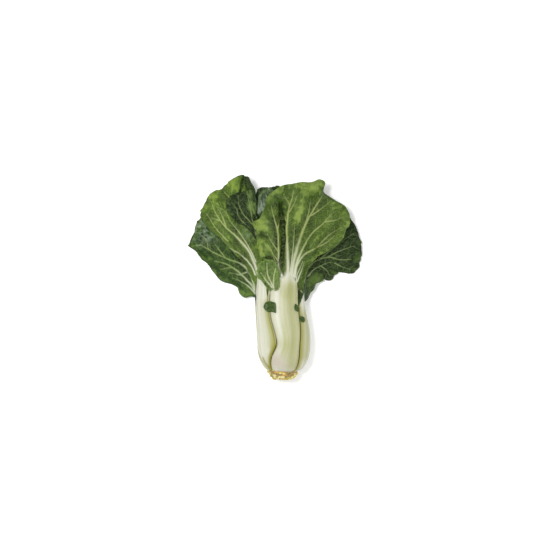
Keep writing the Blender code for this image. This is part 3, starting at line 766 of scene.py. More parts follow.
def plain_veins(leaf):
    """Midrib and side veins of a leaf that is hardly seen, fanned over its sheet."""
    middle, last = FAN_CELLS // 2, FAN_CELLS - 3
    sheet = blade_sheet(leaf, np.linspace(0, 1, FAN_CELLS), FAN_CELLS, 0)[:, :, :2]
    found = [(0.0018, 0.0006, sheet[:last:4, middle])]
    for pair in range(FAN_PAIRS):
        for side in (-1, 1):
            places = [(3 + 5 * pair + 3 * k, middle + side * round((15 - 1.2 * pair) * (k / 4)**1.2))
                      for k in range(5)]
            found.append((0.0011, 0.0004, [sheet[min(row, last), column] for row, column in places]))
    return found


make_leaf("under_left", UNDER_LEFT, plain_veins(UNDER_LEFT), UNDER_GREEN)
make_leaf("under_right", UNDER_RIGHT, plain_veins(UNDER_RIGHT), UNDER_GREEN)


# Back left leaf. It lies low on the left, dark green, with its pale veins fanned towards the margin.
# Its stalk is seen as a narrow white strip along the left of the bundle.

BACK_LEFT = dict(
    sector=[(-0.054, -150, -62), (-0.043, -149.5, -62), (-0.033, -149, -73), (-0.013, -147.2, -92.5),
            (0.002, -146, -89.6), (0.020, -143.5, -86.5), (0.053, -137.2, -80.9), (0.070, -134, -77.9)],
    stalk_from=-0.054, stalk_side=0.040, stalk_top=0.064, crown=0.0015, ring=1.0,
    outline=[(-0.037, 0.054, 0.011), (-0.047, 0.056, 0.009), (-0.054, 0.054, 0.007),
             (-0.060, 0.058, 0.005), (-0.064, 0.069, 0.0045), (-0.073, 0.074, 0.004),
             (-0.091, 0.080, 0.0035), (-0.102, 0.092, 0.0035), (-0.110, 0.105, 0.005),
             (-0.120, 0.111, 0.007), (-0.128, 0.122, 0.009), (-0.139, 0.131, 0.010),
             (-0.131, 0.144, 0.011), (-0.129, 0.155, 0.012), (-0.121, 0.171, 0.014),
             (-0.111, 0.182, 0.016),
             (-0.096, 0.187, 0.018), (-0.080, 0.180, 0.020), (-0.069, 0.165, 0.022),
             (-0.060, 0.146, 0.027), (-0.053, 0.124, 0.031), (-0.046, 0.102, 0.034),
             (-0.040, 0.080, 0.037)],
    shoulders=(11, 16), arch=0.004, waves=[(6.0, 0.0014, 0.0)],
    columns=19, rows=12,
    tone_and_shade_spots=[(-0.134, 0.1319, 0.008, 0.40), (-0.0402, 0.0775, 0.006, 0.7), (-0.050, 0.066, 0.009, 0.45),
           (-0.0559, 0.104, 0.007, -0.35), (-0.1213, 0.138, 0.010, -0.1)],
    # Painted shadow of the front left leaf's margin, as a dark line
    tone_and_shade_lines=[(0.003, -0.9, [(-0.070, 0.120), (-0.0628, 0.1125), (-0.052, 0.100), (-0.040, 0.082)])],
    sheen_and_bloom_spots=[(-0.112, 0.154, 0.017, 0.85)],
    flanks=(0.2, 0.5), fade=0.06, whiten=2.4,
    grid=(160, 130, 50))

BACK_LEFT_VEINS = [
    (0.0014, 0.0006, [(-0.040, 0.066), (-0.044, 0.084), (-0.051, 0.096), (-0.060, 0.104),
                      (-0.076, 0.110), (-0.095, 0.118), (-0.109, 0.126), (-0.120, 0.132)]),
    (0.0014, 0.0006, [(-0.040, 0.061), (-0.044, 0.072), (-0.053, 0.082), (-0.066, 0.094),
                      (-0.076, 0.101), (-0.089, 0.106), (-0.100, 0.108)]),
    (*THIN, [(-0.095, 0.118), (-0.109, 0.128), (-0.110, 0.138), (-0.118, 0.146)]),
    (*THIN, [(-0.040, 0.061), (-0.047, 0.069), (-0.060, 0.078), (-0.076, 0.084)]),
    (*THIN, [(-0.051, 0.092), (-0.067, 0.087)]),
    (*THIN, [(-0.060, 0.088), (-0.079, 0.091)]),
    (*THIN, [(-0.073, 0.099), (-0.092, 0.096)]),
    (*THIN, [(-0.085, 0.115), (-0.099, 0.134)]),
    (*THIN, [(-0.120, 0.132), (-0.134, 0.130)]),
]

make_leaf("back_left", BACK_LEFT, BACK_LEFT_VEINS,
          leaf_finish("back_left_leaf", (16, 34, 10), (50, 78, 30), (100, 128, 56), (164, 186, 110),
                      (26, 46, 18)))


# Back right leaf. The darkest, in the shade of the front centre blade, on a stalk that closes the right
# side of the bundle.

BACK_RIGHT = dict(
    sector=[(-0.054, 47.5, 99), (-0.043, 43.5, 96.7), (-0.033, 41.5, 94.9), (-0.013, 40, 92),
            (0.002, 43.5, 92.7), (0.020, 47, 95.6), (0.053, 54.5, 105.3), (0.070, 57, 111)],
    stalk_from=-0.054, stalk_side=0.040, stalk_top=0.057, crown=0.0015, ring=1.0,
    outline=[(0.024, 0.083, 0.028), (0.024, 0.107, 0.025), (0.026, 0.130, 0.022),
             (0.032, 0.153, 0.020), (0.042, 0.172, 0.018), (0.057, 0.185, 0.016),
             (0.074, 0.188, 0.015), (0.092, 0.180, 0.014), (0.104, 0.166, 0.013),
             (0.112, 0.150, 0.011), (0.117, 0.134, 0.009), (0.117, 0.121, 0.008),
             (0.117, 0.111, 0.006), (0.112, 0.099, 0.004), (0.102, 0.090, 0.004),
             (0.091, 0.091, 0.004), (0.077, 0.091, 0.006), (0.073, 0.081, 0.005),
             (0.058, 0.082, 0.008), (0.049, 0.078, 0.009), (0.044, 0.072, 0.010),
             (0.040, 0.064, 0.014), (0.037, 0.055, 0.019), (0.035, 0.050, 0.023)],
    shoulders=(6, 13), arch=0.004, waves=[(6.0, 0.0014, 2.0)],
    columns=25, rows=10,
    tone_and_shade_spots=[(0.0465, 0.0838, 0.009, 0.45), (0.0555, 0.1133, 0.014, -0.15), (0.101, 0.161, 0.012, -0.25),
           (0.0328, 0.0758, 0.008, 0.3)],
    # Painted shade along this stalk, which lies on the side away from the light
    tone_and_shade_lines=[(0.008, -0.36, [(0.033, 0.030), (0.0345, 0.000), (0.033, -0.030)])],
    flanks=(0.9, 0.3), fade=0.03, whiten=3.0, flutes=(1.5, 0.0005, 1.0),
    grid=(160, 130, 50))

BACK_RIGHT_VEINS = [
    (0.0013, 0.0006, [(0.031, 0.076), (0.038, 0.097), (0.045, 0.105), (0.054, 0.110), (0.062, 0.113),
                      (0.071, 0.114), (0.081, 0.111), (0.092, 0.110), (0.102, 0.111)]),
    (*THIN, [(0.067, 0.114), (0.085, 0.123), (0.099, 0.128), (0.108, 0.131)]),
    (*THIN, [(0.054, 0.110), (0.076, 0.128), (0.095, 0.142), (0.107, 0.150)]),
    (*THIN, [(0.038, 0.086), (0.047, 0.096), (0.057, 0.101), (0.069, 0.106), (0.078, 0.105)]),
    (*THIN, [(0.078, 0.105), (0.091, 0.099), (0.101, 0.096)]),
    (*THIN, [(0.057, 0.101), (0.067, 0.093), (0.070, 0.086)]),
]

make_leaf("back_right", BACK_RIGHT, BACK_RIGHT_VEINS,
          leaf_finish("back_right_leaf", (12, 24, 8), (36, 56, 22), (88, 112, 50), (148, 170, 104),
                      (16, 30, 10)))


# Inner back leaf. A young leaf from the heart, which shows behind the centre blade. Only its glossy dark
# tip is seen from above.

INNER_BACK = dict(
    sector=[(-0.030, 115, 292), (0.0, 115, 292), (0.080, 112, 270)],
    stalk_from=-0.030, stalk_side=0.056, stalk_top=0.072, crown=0.0, ring=0.62,
    wall=0.5,
    outline=[(0.014, 0.088, 0.021), (0.014, 0.117, 0.023), (0.015, 0.142, 0.025),
             (0.016, 0.168, 0.027), (0.017, 0.190, 0.028), (0.013, 0.209, 0.029),
             (0.001, 0.217, 0.030), (-0.010, 0.218, 0.030), (-0.019, 0.216, 0.029),
             (-0.030, 0.217, 0.028), (-0.038, 0.212, 0.027), (-0.041, 0.197, 0.026),
             (-0.039, 0.175, 0.025), (-0.034, 0.146, 0.023), (-0.027, 0.117, 0.021),
             (-0.020, 0.088, 0.019)],
    shoulders=(5, 10), arch=0.002, waves=[(4.0, 0.001, 0.0)],
    columns=12, rows=10, fade=0.10, grid=(100, 100, 40))

make_leaf("inner_back", INNER_BACK, plain_veins(INNER_BACK),
          leaf_finish("inner_leaf", (12, 26, 10), (36, 58, 26), (86, 110, 60), (130, 152, 100),
                      (18, 32, 14)))


# Front left leaf. Bright yellow-green and quilted, with a broad white midrib that runs down into a thick
# ribbed stalk.

FRONT_LEFT = dict(
    sector=[(-0.054, -60, -47.5), (-0.043, -60, -40.5), (-0.033, -71, -33.5), (-0.013, -90.5, -18.4),
            (0.002, -87.6, -21.4), (0.020, -84.5, -27.4), (0.053, -79, -29.6), (0.070, -76, -28)],
    stalk_from=-0.054, stalk_side=0.054, stalk_top=0.090, crown=0.002, ring=1.0,
    outline=[(-0.044, 0.089, 0.046), (-0.051, 0.098, 0.045), (-0.063, 0.111, 0.043),
             (-0.074, 0.124, 0.040), (-0.088, 0.139, 0.037), (-0.099, 0.147, 0.034),
             (-0.111, 0.159, 0.031), (-0.120, 0.174, 0.030), (-0.118, 0.184, 0.031),
             (-0.111, 0.196, 0.033), (-0.104, 0.207, 0.036), (-0.088, 0.214, 0.040),
             (-0.073, 0.228, 0.042), (-0.057, 0.234, 0.042), (-0.050, 0.228, 0.041),
             (-0.041, 0.214, 0.039), (-0.038, 0.196, 0.038), (-0.036, 0.168, 0.039),
             (-0.037, 0.140, 0.042), (-0.035, 0.121, 0.047), (-0.029, 0.102, 0.053),
             (-0.020, 0.076, 0.061)],
    shoulders=(7, 14), arch=0.005, waves=[(6.0, 0.0018, 1.0)],
    columns=27, rows=11,
    tone_and_shade_spots=[(-0.0995, 0.185, 0.014, 0.24), (-0.0959, 0.202, 0.010, 0.18), (-0.0704, 0.2167, 0.013, 0.18),
           (-0.0959, 0.167, 0.010, 0.18), (-0.079, 0.180, 0.010, 0.12), (-0.085, 0.143, 0.008, 0.15),
           (-0.0765, 0.132, 0.008, 0.15), (-0.0874, 0.201, 0.008, -0.30), (-0.1068, 0.1756, 0.010, -0.25),
           (-0.0656, 0.132, 0.009, -0.25), (-0.058, 0.110, 0.009, -0.25), (-0.0486, 0.220, 0.014, -0.50),
           (-0.0426, 0.138, 0.008, -0.15), (-0.050, 0.190, 0.014, -0.25), (-0.072, 0.150, 0.012, -0.25)],
    # Painted shade: the dark right side near the tip, a dark fold line, and the stalk's right side
    tone_and_shade_lines=[(0.005, -0.6, [(-0.0526, 0.2301), (-0.0484, 0.2196), (-0.0442, 0.2092)]),
             (0.0014, -0.8, [(-0.0569, 0.2301), (-0.062, 0.2082), (-0.0765, 0.2005), (-0.0808, 0.192)]),
             (0.0055, -0.45, [(-0.0225, 0.045), (-0.020, 0.022), (-0.016, 0.000), (-0.015, -0.015)])],
    sheen_and_bloom_spots=[(-0.0474, 0.1477, 0.010, 0.30)],
    furrows=[(0.0012, 0.0016, [(-0.0565, 0.2324), (-0.060, 0.220), (-0.0626, 0.2058)])],
    seams=[(0.0014, 0.9, [(-0.0275, -0.033), (-0.024, -0.041), (-0.0165, -0.051)])],
    flanks=(0.15, 1.2), fade=0.07, whiten=1.6, flutes=(2.0, 0.0006, 0.6),
    grid=(170, 140, 70))

FRONT_LEFT_VEINS = [
    (0.0019, 0.0006, [(-0.036, 0.092), (-0.040, 0.104), (-0.043, 0.111), (-0.047, 0.120),
                      (-0.055, 0.131), (-0.069, 0.146), (-0.081, 0.156), (-0.090, 0.167), (-0.100, 0.184)]),
    (*THIN, [(-0.038, 0.107), (-0.047, 0.126), (-0.057, 0.142), (-0.064, 0.153),
                      (-0.075, 0.166), (-0.082, 0.180), (-0.096, 0.188)]),
    (0.0011, 0.0004, [(-0.039, 0.088), (-0.043, 0.098), (-0.050, 0.108), (-0.058, 0.115),
                      (-0.082, 0.132), (-0.091, 0.145)]),
    (*THIN, [(-0.067, 0.188), (-0.077, 0.201), (-0.087, 0.212)]),
    (*THIN, [(-0.079, 0.137), (-0.096, 0.155), (-0.111, 0.178)]),
    (*THIN, [(-0.100, 0.184), (-0.104, 0.196)]),
    (*THIN, [(-0.090, 0.167), (-0.102, 0.171)]),
    (*THIN, [(-0.081, 0.156), (-0.088, 0.175), (-0.096, 0.188)]),
]

make_leaf("front_left", FRONT_LEFT, FRONT_LEFT_VEINS,
          leaf_finish("front_left_leaf", (30, 50, 14), (84, 112, 38), (146, 170, 72), (190, 204, 126),
                      (40, 60, 20)))


# Inner centre leaf. A young leaf with a greyish waxy bloom and a painted sheen, in the gap between
# the left and the centre blade.

INNER_CENTRE = dict(
    sector=[(-0.030, 25, 111), (0.0, 25, 111), (0.080, 24, 105)],
    stalk_from=-0.030, stalk_side=0.064, stalk_top=0.082, crown=0.0, ring=0.62,
    wall=0.5,
    outline=[(0.001, 0.086, 0.050), (-0.010, 0.104, 0.048), (-0.022, 0.126, 0.046),
             (-0.031, 0.148, 0.0445), (-0.035, 0.168, 0.044), (-0.037, 0.184, 0.0435),
             (-0.036, 0.199, 0.043), (-0.029, 0.210, 0.042), (-0.018, 0.215, 0.042),
             (-0.009, 0.210, 0.042), (-0.007, 0.197, 0.043), (-0.003, 0.175, 0.044),
             (0.003, 0.150, 0.044), (0.010, 0.122, 0.043), (0.017, 0.098, 0.040)],
    shoulders=(6, 9), arch=0.002, waves=[(4.0, 0.001, 0.0)],
    columns=13, rows=10,
    sheen_and_bloom_spots=[(-0.0297, 0.1838, 0.012, 1.0), (-0.030, 0.170, 0.010, 0.6)],
    fade=0.10,
    grid=(80, 100, 40))

make_leaf("inner_centre", INNER_CENTRE, plain_veins(INNER_CENTRE),
          leaf_finish("inner_centre_leaf", (22, 38, 22), (74, 98, 62), (132, 154, 106), (180, 198, 156),
                      (26, 42, 22)))


# Inner left leaf. Dark green and folded in, between the left and the centre blade. It lies on the
# inner centre leaf.

INNER_LEFT = dict(
    sector=[(-0.030, -64, 21), (0.0, -64, 21), (0.080, -22, 20)],
    stalk_from=-0.030, stalk_side=0.064, stalk_top=0.080, crown=0.0, ring=0.62,
    wall=0.5,
    outline=[(-0.014, 0.088, 0.056), (-0.022, 0.106, 0.055), (-0.030, 0.124, 0.054),
             (-0.039, 0.142, 0.053), (-0.052, 0.157, 0.052), (-0.068, 0.167, 0.051),
             (-0.080, 0.179, 0.050), (-0.081, 0.195, 0.049), (-0.074, 0.202, 0.048),
             (-0.063, 0.207, 0.047), (-0.050, 0.212, 0.0465), (-0.042, 0.212, 0.0465),
             (-0.038, 0.203, 0.047), (-0.037, 0.185, 0.048), (-0.036, 0.168, 0.049),
             (-0.030, 0.146, 0.051), (-0.020, 0.120, 0.054), (-0.006, 0.098, 0.056)],
    shoulders=(6, 11), arch=0.002, waves=[(4.0, 0.001, 0.0)],
    columns=10, rows=9,
    tone_and_shade_spots=[(-0.0438, 0.1865, 0.006, 0.35), (-0.0559, 0.173, 0.010, -0.1)],
    tone_and_shade_lines=[(0.005, 0.5, [(-0.048, 0.209), (-0.0455, 0.194), (-0.043, 0.179)])],
    fade=0.10,
    grid=(110, 110, 40))

INNER_LEFT_VEINS = [
    (0.001, 0.0005, [(-0.038, 0.146), (-0.043, 0.168), (-0.046, 0.185), (-0.049, 0.199), (-0.051, 0.211)]),
    (*THIN, [(-0.044, 0.162), (-0.057, 0.177), (-0.063, 0.191), (-0.064, 0.204)]),
    (*THIN, [(-0.053, 0.161), (-0.063, 0.172), (-0.066, 0.183), (-0.074, 0.194)]),
]

make_leaf("inner_left", INNER_LEFT, INNER_LEFT_VEINS,
          leaf_finish("inner_left_leaf", (10, 22, 6), (32, 52, 20), (104, 128, 66), (146, 166, 104),
                      (16, 30, 10)))


# Front centre leaf. The biggest: a broad ribbed stalk and a wide pleated blade, seen from its outer
# side, so that its veins stand proud.

FRONT_CENTRE = dict(
    sector=[(-0.054, -46, 46), (-0.043, -38.5, 42), (-0.033, -31, 40), (-0.013, -15.4, 38.5),
            (0.002, -18.3, 42), (0.020, -24.3, 45.5), (0.053, -24.8, 53), (0.070, -21, 55.5)],
    stalk_from=-0.054, stalk_side=0.060, stalk_top=0.086, crown=0.003, ring=1.0,
    outline=[(-0.017, 0.071, 0.066), (-0.012, 0.088, 0.069), (-0.009, 0.099, 0.073),
             (-0.016, 0.104, 0.0755), (-0.029, 0.110, 0.074), (-0.036, 0.130, 0.072),
             (-0.037, 0.150, 0.069), (-0.043, 0.164, 0.064), (-0.031, 0.169, 0.063),
             (-0.026, 0.184, 0.060), (-0.019, 0.203, 0.056), (-0.001, 0.216, 0.053),
             (0.018, 0.221, 0.050), (0.038, 0.223, 0.047), (0.060, 0.225, 0.049),
             (0.060, 0.213, 0.044), (0.080, 0.196, 0.038), (0.099, 0.178, 0.033),
             (0.096, 0.159, 0.034), (0.088, 0.139, 0.037), (0.069, 0.125, 0.042),
             (0.047, 0.110, 0.048), (0.035, 0.089, 0.052), (0.031, 0.074, 0.051),
             (0.030, 0.060, 0.050)],
    shoulders=(5, 18), arch=0.006, waves=[(7.0, 0.0022, 0.4)],
    folds=[(0.0045, 0.006, [(0.000, 0.092), (0.000, 0.130), (0.001, 0.162), (-0.002, 0.194)]),
           (0.004, 0.004, [(0.045, 0.197), (0.054, 0.214)])],
    columns=29, rows=12,
    tone_and_shade_spots=[(0.017, 0.178, 0.012, 0.10), (0.006, 0.064, 0.010, -0.25), (0.051, 0.2156, 0.010, 0.12),
           (0.0726, 0.1724, 0.028, 0.12), (0.093, 0.165, 0.010, 0.10), (-0.032, 0.1587, 0.009, 0.36),
           (-0.025, 0.127, 0.012, 0.40), (-0.0047, 0.195, 0.010, -0.20), (-0.0297, 0.1463, 0.006, -0.40),
           (0.006, -0.015, 0.010, -0.15)],
    # Mostly painted shade: the curled-under top right margin, beside veins, the stalk's right side, above
    # the small front leaf and in the gap by the right stalk. One line lightens the blade.
    tone_and_shade_lines=[(0.0038, -0.55, [(0.0584, 0.213), (0.0759, 0.1996), (0.092, 0.187), (0.0993, 0.178)]),
             (0.006, -0.28, [(0.0584, 0.1942), (0.0438, 0.1752), (0.0394, 0.1591)]),
             (0.0075, 0.20, [(0.0169, 0.2064), (0.0205, 0.184), (0.019, 0.1656)]),
             (0.003, -0.30, [(0.008, 0.135), (0.009, 0.115), (0.0085, 0.095)]),
             (0.0105, -0.48, [(0.015, 0.070), (0.018, 0.030), (0.018, -0.010), (0.015, -0.042)]),
             (0.006, -0.18, [(0.005, 0.055), (0.004, 0.010), (0.002, -0.030)]),
             (0.0022, -0.70, [(-0.035, 0.109), (-0.0234, 0.1122), (-0.0088, 0.1115), (-0.0044, 0.1051)]),
             (0.004, -0.30, [(-0.012, 0.172), (-0.009, 0.150), (-0.0085, 0.125)]),
             (0.0026, -0.90, [(0.024, 0.053), (0.029, 0.056)])],
    furrows=[(0.0024, 0.0024, [(-0.0024, 0.1917), (0.0004, 0.1701), (0.0027, 0.1553), (0.0022, 0.1383),
                               (-0.0001, 0.1156), (-0.0013, 0.1008), (-0.0001, 0.0849)]),
             (0.0013, 0.0009, [(0.0215, 0.1655), (0.0192, 0.1383), (0.0169, 0.1156)]),
             (0.0013, 0.0008, [(-0.026, 0.141), (-0.027, 0.122)]),
             (0.0016, 0.0014, [(-0.036, 0.146), (-0.022, 0.143)]),
             (0.0011, 0.002, [(-0.024, 0.103), (-0.015, 0.1045), (-0.007, 0.103)])],
    greens=[(0.0004, 0.0885, 0.0045, 1.0), (0.030, 0.070, 0.007, 1.3), (0.029, 0.060, 0.005, 0.9),
            (0.0255, 0.086, 0.0055, 0.8)],
    # Painted lilac shade at the foot of the stalk
    lilac_shade_spots=[(-0.009, -0.033, 0.011, 0.75), (0.002, -0.044, 0.012, 0.65),
             (-0.012, -0.042, 0.008, 0.4)],
    flanks=(0.25, 0.65), fade=0.075, whiten=2.4, flutes=(2.5, 0.0007, 0.4),
    grid=(200, 150, 80))

FRONT_CENTRE_VEINS = [
    (0.0024, 0.0005, [(0.009, 0.086), (0.008, 0.124), (0.007, 0.153), (0.008, 0.166), (0.010, 0.184),
                      (0.014, 0.196), (0.017, 0.212)]),
    (*THIN, [(0.008, 0.164), (0.002, 0.175)]),
    (*THIN, [(0.019, 0.057), (0.023, 0.062), (0.028, 0.064), (0.030, 0.061)]),
    (*THIN, [(0.012, 0.188), (0.002, 0.205)]),
    (*THIN, [(0.009, 0.177), (0.017, 0.190), (0.022, 0.204)]),
    (0.0018, 0.0005, [(0.000, 0.086), (-0.003, 0.093), (-0.005, 0.117), (-0.005, 0.129),
                      (-0.007, 0.154), (-0.011, 0.168), (-0.016, 0.188)]),
    (*THIN, [(-0.005, 0.121), (-0.014, 0.134), (-0.022, 0.148)]),
    (*THIN, [(-0.005, 0.107), (-0.016, 0.123), (-0.022, 0.134)]),
    (*THIN, [(-0.003, 0.093), (-0.009, 0.105), (-0.017, 0.129)]),
    (*THIN, [(-0.007, 0.154), (-0.001, 0.172)]),
    (0.0032, 0.0004, [(0.013, 0.086), (0.018, 0.112), (0.023, 0.131), (0.028, 0.146), (0.040, 0.173),
                      (0.051, 0.191), (0.060, 0.206)]),
    (*THIN, [(0.042, 0.174), (0.054, 0.182), (0.073, 0.197)]),
    (*THIN, [(0.034, 0.159), (0.039, 0.180), (0.042, 0.200)]),
    (0.0018, 0.0004, [(0.017, 0.086), (0.022, 0.107), (0.031, 0.128), (0.042, 0.146), (0.062, 0.165),
                      (0.073, 0.177), (0.081, 0.182)]),
    (*THIN, [(0.062, 0.165), (0.079, 0.168), (0.092, 0.174)]),
    (0.0018, 0.0004, [(0.019, 0.085), (0.021, 0.101), (0.026, 0.110), (0.035, 0.119), (0.050, 0.127),
                      (0.065, 0.135), (0.077, 0.145)]),
    (*THIN, [(0.050, 0.127), (0.069, 0.146), (0.088, 0.158)]),
    (*THIN, [(0.020, 0.074), (0.022, 0.087), (0.031, 0.108)]),
    (*THIN, [(0.022, 0.078), (0.033, 0.107)]),
    (*THIN, [(0.012, 0.092), (0.015, 0.117), (0.017, 0.139), (0.018, 0.159)]),
]

make_leaf("front_centre", FRONT_CENTRE, FRONT_CENTRE_VEINS,
          leaf_finish("front_centre_leaf", (22, 40, 10), (74, 100, 36), (136, 158, 74), (180, 194, 118),
                      (122, 148, 70)))


# Small front leaf. It hangs between the two front leaves on a thread of a stalk, and lies on both of
# them.

SMALL_FRONT = dict(
    sector=[(-0.014, -17.6, -16.2), (0.002, -20.6, -19.1), (0.020, -26.6, -25.1),
            (0.053, -28.8, -25.6), (0.066, -27.5, -22.2)],
    stalk_from=-0.014, stalk_side=0.062, stalk_top=0.064, crown=0.0, ring=1.0,
    wall=0.2,
    outline=[(-0.022, 0.069, 0.0695), (-0.028, 0.076, 0.069), (-0.034, 0.085, 0.0685),
             (-0.037, 0.093, 0.069), (-0.035, 0.101, 0.074), (-0.029, 0.107, 0.079),
             (-0.020, 0.110, 0.0805), (-0.012, 0.108, 0.0805), (-0.007, 0.100, 0.0785),
             (-0.003, 0.092, 0.0755), (-0.003, 0.083, 0.0745), (-0.004, 0.074, 0.0735),
             (-0.006, 0.067, 0.0725)],
    shoulders=(4, 8), arch=0.001, waves=[(3.0, 0.0006, 0.0)],
    columns=7, rows=8, fade=0.05, puff=0.0006, ridge=0.0003, pleats=3, grid=(70, 70, 60))

SMALL_FRONT_VEINS = [
    (0.0013, 0.0006, [(-0.010, 0.064), (-0.015, 0.075), (-0.020, 0.086), (-0.022, 0.105)]),
    (0.001, 0.0006, [(-0.014, 0.069), (-0.023, 0.080), (-0.031, 0.091)]),
    (0.001, 0.0006, [(-0.012, 0.070), (-0.012, 0.083), (-0.009, 0.098)]),
]

make_leaf("small_front", SMALL_FRONT, SMALL_FRONT_VEINS,
          leaf_finish("small_front_leaf", (44, 70, 26), (100, 128, 58), (150, 174, 92), (206, 216, 156),
                      (146, 170, 92)))


# Leaflets. Small dark green leaves that sprout on the stalks: one round across the gap between the two
# front stalks, one slim and one on the right side. Each lies on the stalks with its edges a little free.

LEAFLET_THICKNESS = 0.0007
LEAFLET_PLAY = 0.0011
LEAFLET_CUP = 0.0012
LEAFLET_VEIN = (0.0006, 0.0003)
LEAFLET_DENT = 0.0004
LEAFLET_CELLS = 30
LEAFLET_STRIDE = 3

# Each leaflet: name, centre, root and outline
LEAFLETS = [
    ("leaflet_round", (-0.0185, 0.0425), (-0.0255, 0.040),
     [(-0.0271, 0.0413), (-0.025, 0.0462), (-0.020, 0.0492), (-0.0145, 0.0488), (-0.010, 0.0472),
      (-0.0088, 0.0425), (-0.0088, 0.037), (-0.0092, 0.0328), (-0.013, 0.034), (-0.0181, 0.0336),
      (-0.0238, 0.036)]),
    ("leaflet_slim", (0.0215, 0.0405), (0.020, 0.0362),
     [(0.0194, 0.0455), (0.0225, 0.0434), (0.0242, 0.0382), (0.0242, 0.035), (0.020, 0.0361),
      (0.0184, 0.0413)]),
    ("leaflet_side", (0.0298, 0.0232), (0.027, 0.027),
     [(0.0271, 0.0277), (0.0309, 0.0267), (0.033, 0.0225), (0.0325, 0.0194), (0.0288, 0.0198),
      (0.0263, 0.0236)]),
]


def leaflet_finish():
    """Dark waxy green with a faint paler vein and rim."""
    made, shader, start, place, _ = new_finish("leaflet_green", 0.25)
    drift = start.noise(place, 420.0, 3.0)
    veined = start.mask("vein")
    green = (0.5 + (drift - 0.5) * 2.2).clamp().mix(seen(22, 42, 6), seen(76, 104, 34))
    green = (veined * 0.6).mix(green, seen(112, 136, 84))
    green = (start.mask("rim") * 0.4).mix(green, seen(96, 122, 60))
    start.feed(shader, {"Base Color": green, "Normal": start.bump(0.3, 0.0004, drift + veined),
                        "Roughness": 0.42})
    return made


def make_leaflet(name, centre, root, outline, finish):
    """A small leaf cut to its outline, dented along its vein."""
    side = np.linspace(-1, 1, LEAFLET_CELLS)
    v, u = np.meshgrid(side, side, indexing="ij")
    reach = np.maximum(np.abs(u), np.abs(v))
    corners = np.array(outline + outline[:1])
    bearing = np.unwrap(np.arctan2(corners[:, 1] - centre[1], corners[:, 0] - centre[0]))
    if bearing[-1] < bearing[0]:
        bearing, corners = bearing[::-1], corners[::-1]
    turn = bearing[0] + (np.arctan2(v, u) - bearing[0]) % (2 * math.pi)
    edge = through(bearing, corners, turn)
    x = centre[0] + (edge[:, :, 0] - centre[0]) * reach
    y = centre[1] + (edge[:, :, 1] - centre[1]) * reach
    points = np.stack([x, y, np.zeros_like(x)], axis=-1)
    coarse = points[::LEAFLET_STRIDE, ::LEAFLET_STRIDE]
    lift = refine(lift_over(coarse, leaflet_bed, LEAFLET_PLAY), LEAFLET_CELLS, LEAFLET_CELLS)
    tip = (2 * centre[0] - root[0], 2 * centre[1] - root[1])
    strength = vein_masks(x, y, [(*LEAFLET_VEIN, [root, centre, tip])])[0]
    points[:, :, 2] = lift + LEAFLET_CUP * reach**3 - LEAFLET_DENT * strength
    walls = np.full(x.shape, LEAFLET_THICKNESS)
    piece = leaf_mesh("fine_" + name, points, walls, {"vein": strength, "rim": reach**12})
    piece.data.materials.append(finish)
    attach(piece, "root")
    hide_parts(name)


leaflet_bed = list(finished.values())
leaflet_green = leaflet_finish()
for name, centre, root, outline in LEAFLETS:
    make_leaflet(name, centre, root, outline, leaflet_green)


# Butt. The cut root end: a woody plug where the outermost stalks were trimmed off. Their stubs stand round
# it as cream and yellow knobs, with brown stains, and darker brown in the pits between them.

# The plug's profile from its inner end to the cut face: radius and place along the bundle
BUTT_PROFILE = [(0.0, -0.045), (0.011, -0.0455), (0.019, -0.0475), (0.0215, -0.0505), (0.0212, -0.0545),
                (0.0198, -0.058), (0.0172, -0.0615), (0.012, -0.0638), (0.0, -0.064)]
BUTT_CENTRE = (0.001, 0.0335)
BUTT_FLATTENING = 0.93
KNOB_SEED = 11
KNOB_COUNT = 150
KNOB_SIZE = (0.0018, 0.0034)
KNOB_HEIGHT = (0.0006, 0.0024)
PIT_DEPTH = 0.0008
BARE_FROM = -0.047
BARE_FADE = 0.0015

bpy.ops.object.select_all(action="DESELECT")
bpy.ops.mesh.primitive_uv_sphere_add(segments=160, ring_count=90, radius=1.0, location=(0, 0, 0))
butt = bpy.context.object
butt.name = "cut_butt"
butt.data.name = "cut_butt"
ball = places_of(butt.data)
turn = np.arctan2(ball[:, 1], ball[:, 0])
down = np.arccos(np.clip(ball[:, 2], -1, 1)) / math.pi
profile = along(BUTT_PROFILE, down)
skin = np.stack([BUTT_CENTRE[0] + profile[:, 0] * np.cos(turn), profile[:, 1],
                 BUTT_CENTRE[1] - profile[:, 0] * np.sin(turn) * BUTT_FLATTENING], axis=1)
slope = along(BUTT_PROFILE, np.clip(down + 0.01, 0, 1)) - along(BUTT_PROFILE, np.clip(down - 0.01, 0, 1))
away = np.stack([-slope[:, 1] * np.cos(turn), slope[:, 0], slope[:, 1] * np.sin(turn)], axis=1)
away /= np.maximum(np.linalg.norm(away, axis=1, keepdims=True), 1e-9)

draw = np.random.default_rng(KNOB_SEED)
bare = np.flatnonzero(skin[:, 1] < BARE_FROM)
knob = np.full(len(skin), -PIT_DEPTH)
kind = np.zeros(len(skin))
for _ in range(KNOB_COUNT):
    middle = skin[draw.choice(bare)]
    size = draw.uniform(*KNOB_SIZE)
    height = draw.uniform(*KNOB_HEIGHT)
    spread = np.array([1.0, draw.uniform(0.6, 1.0), 1.0])
    apart = (((skin - middle) / spread)**2).sum(axis=1) / size**2
    rise = np.where(apart < 1, height * np.sqrt(np.clip(1 - apart, 0, 1)) - PIT_DEPTH * apart, -PIT_DEPTH)
    higher = rise > knob
    knob = np.where(higher, rise, knob)
    kind = np.where(higher, draw.uniform(0, 1), kind)
exposed = np.clip((BARE_FROM - skin[:, 1]) / BARE_FADE, 0, 1)
butt.data.vertices.foreach_set("co", (skin + away * (knob * exposed)[:, None]).reshape(-1))
add_layers(butt.data, {"knob": (knob + PIT_DEPTH) / (KNOB_HEIGHT[1] + PIT_DEPTH), "kind": kind})
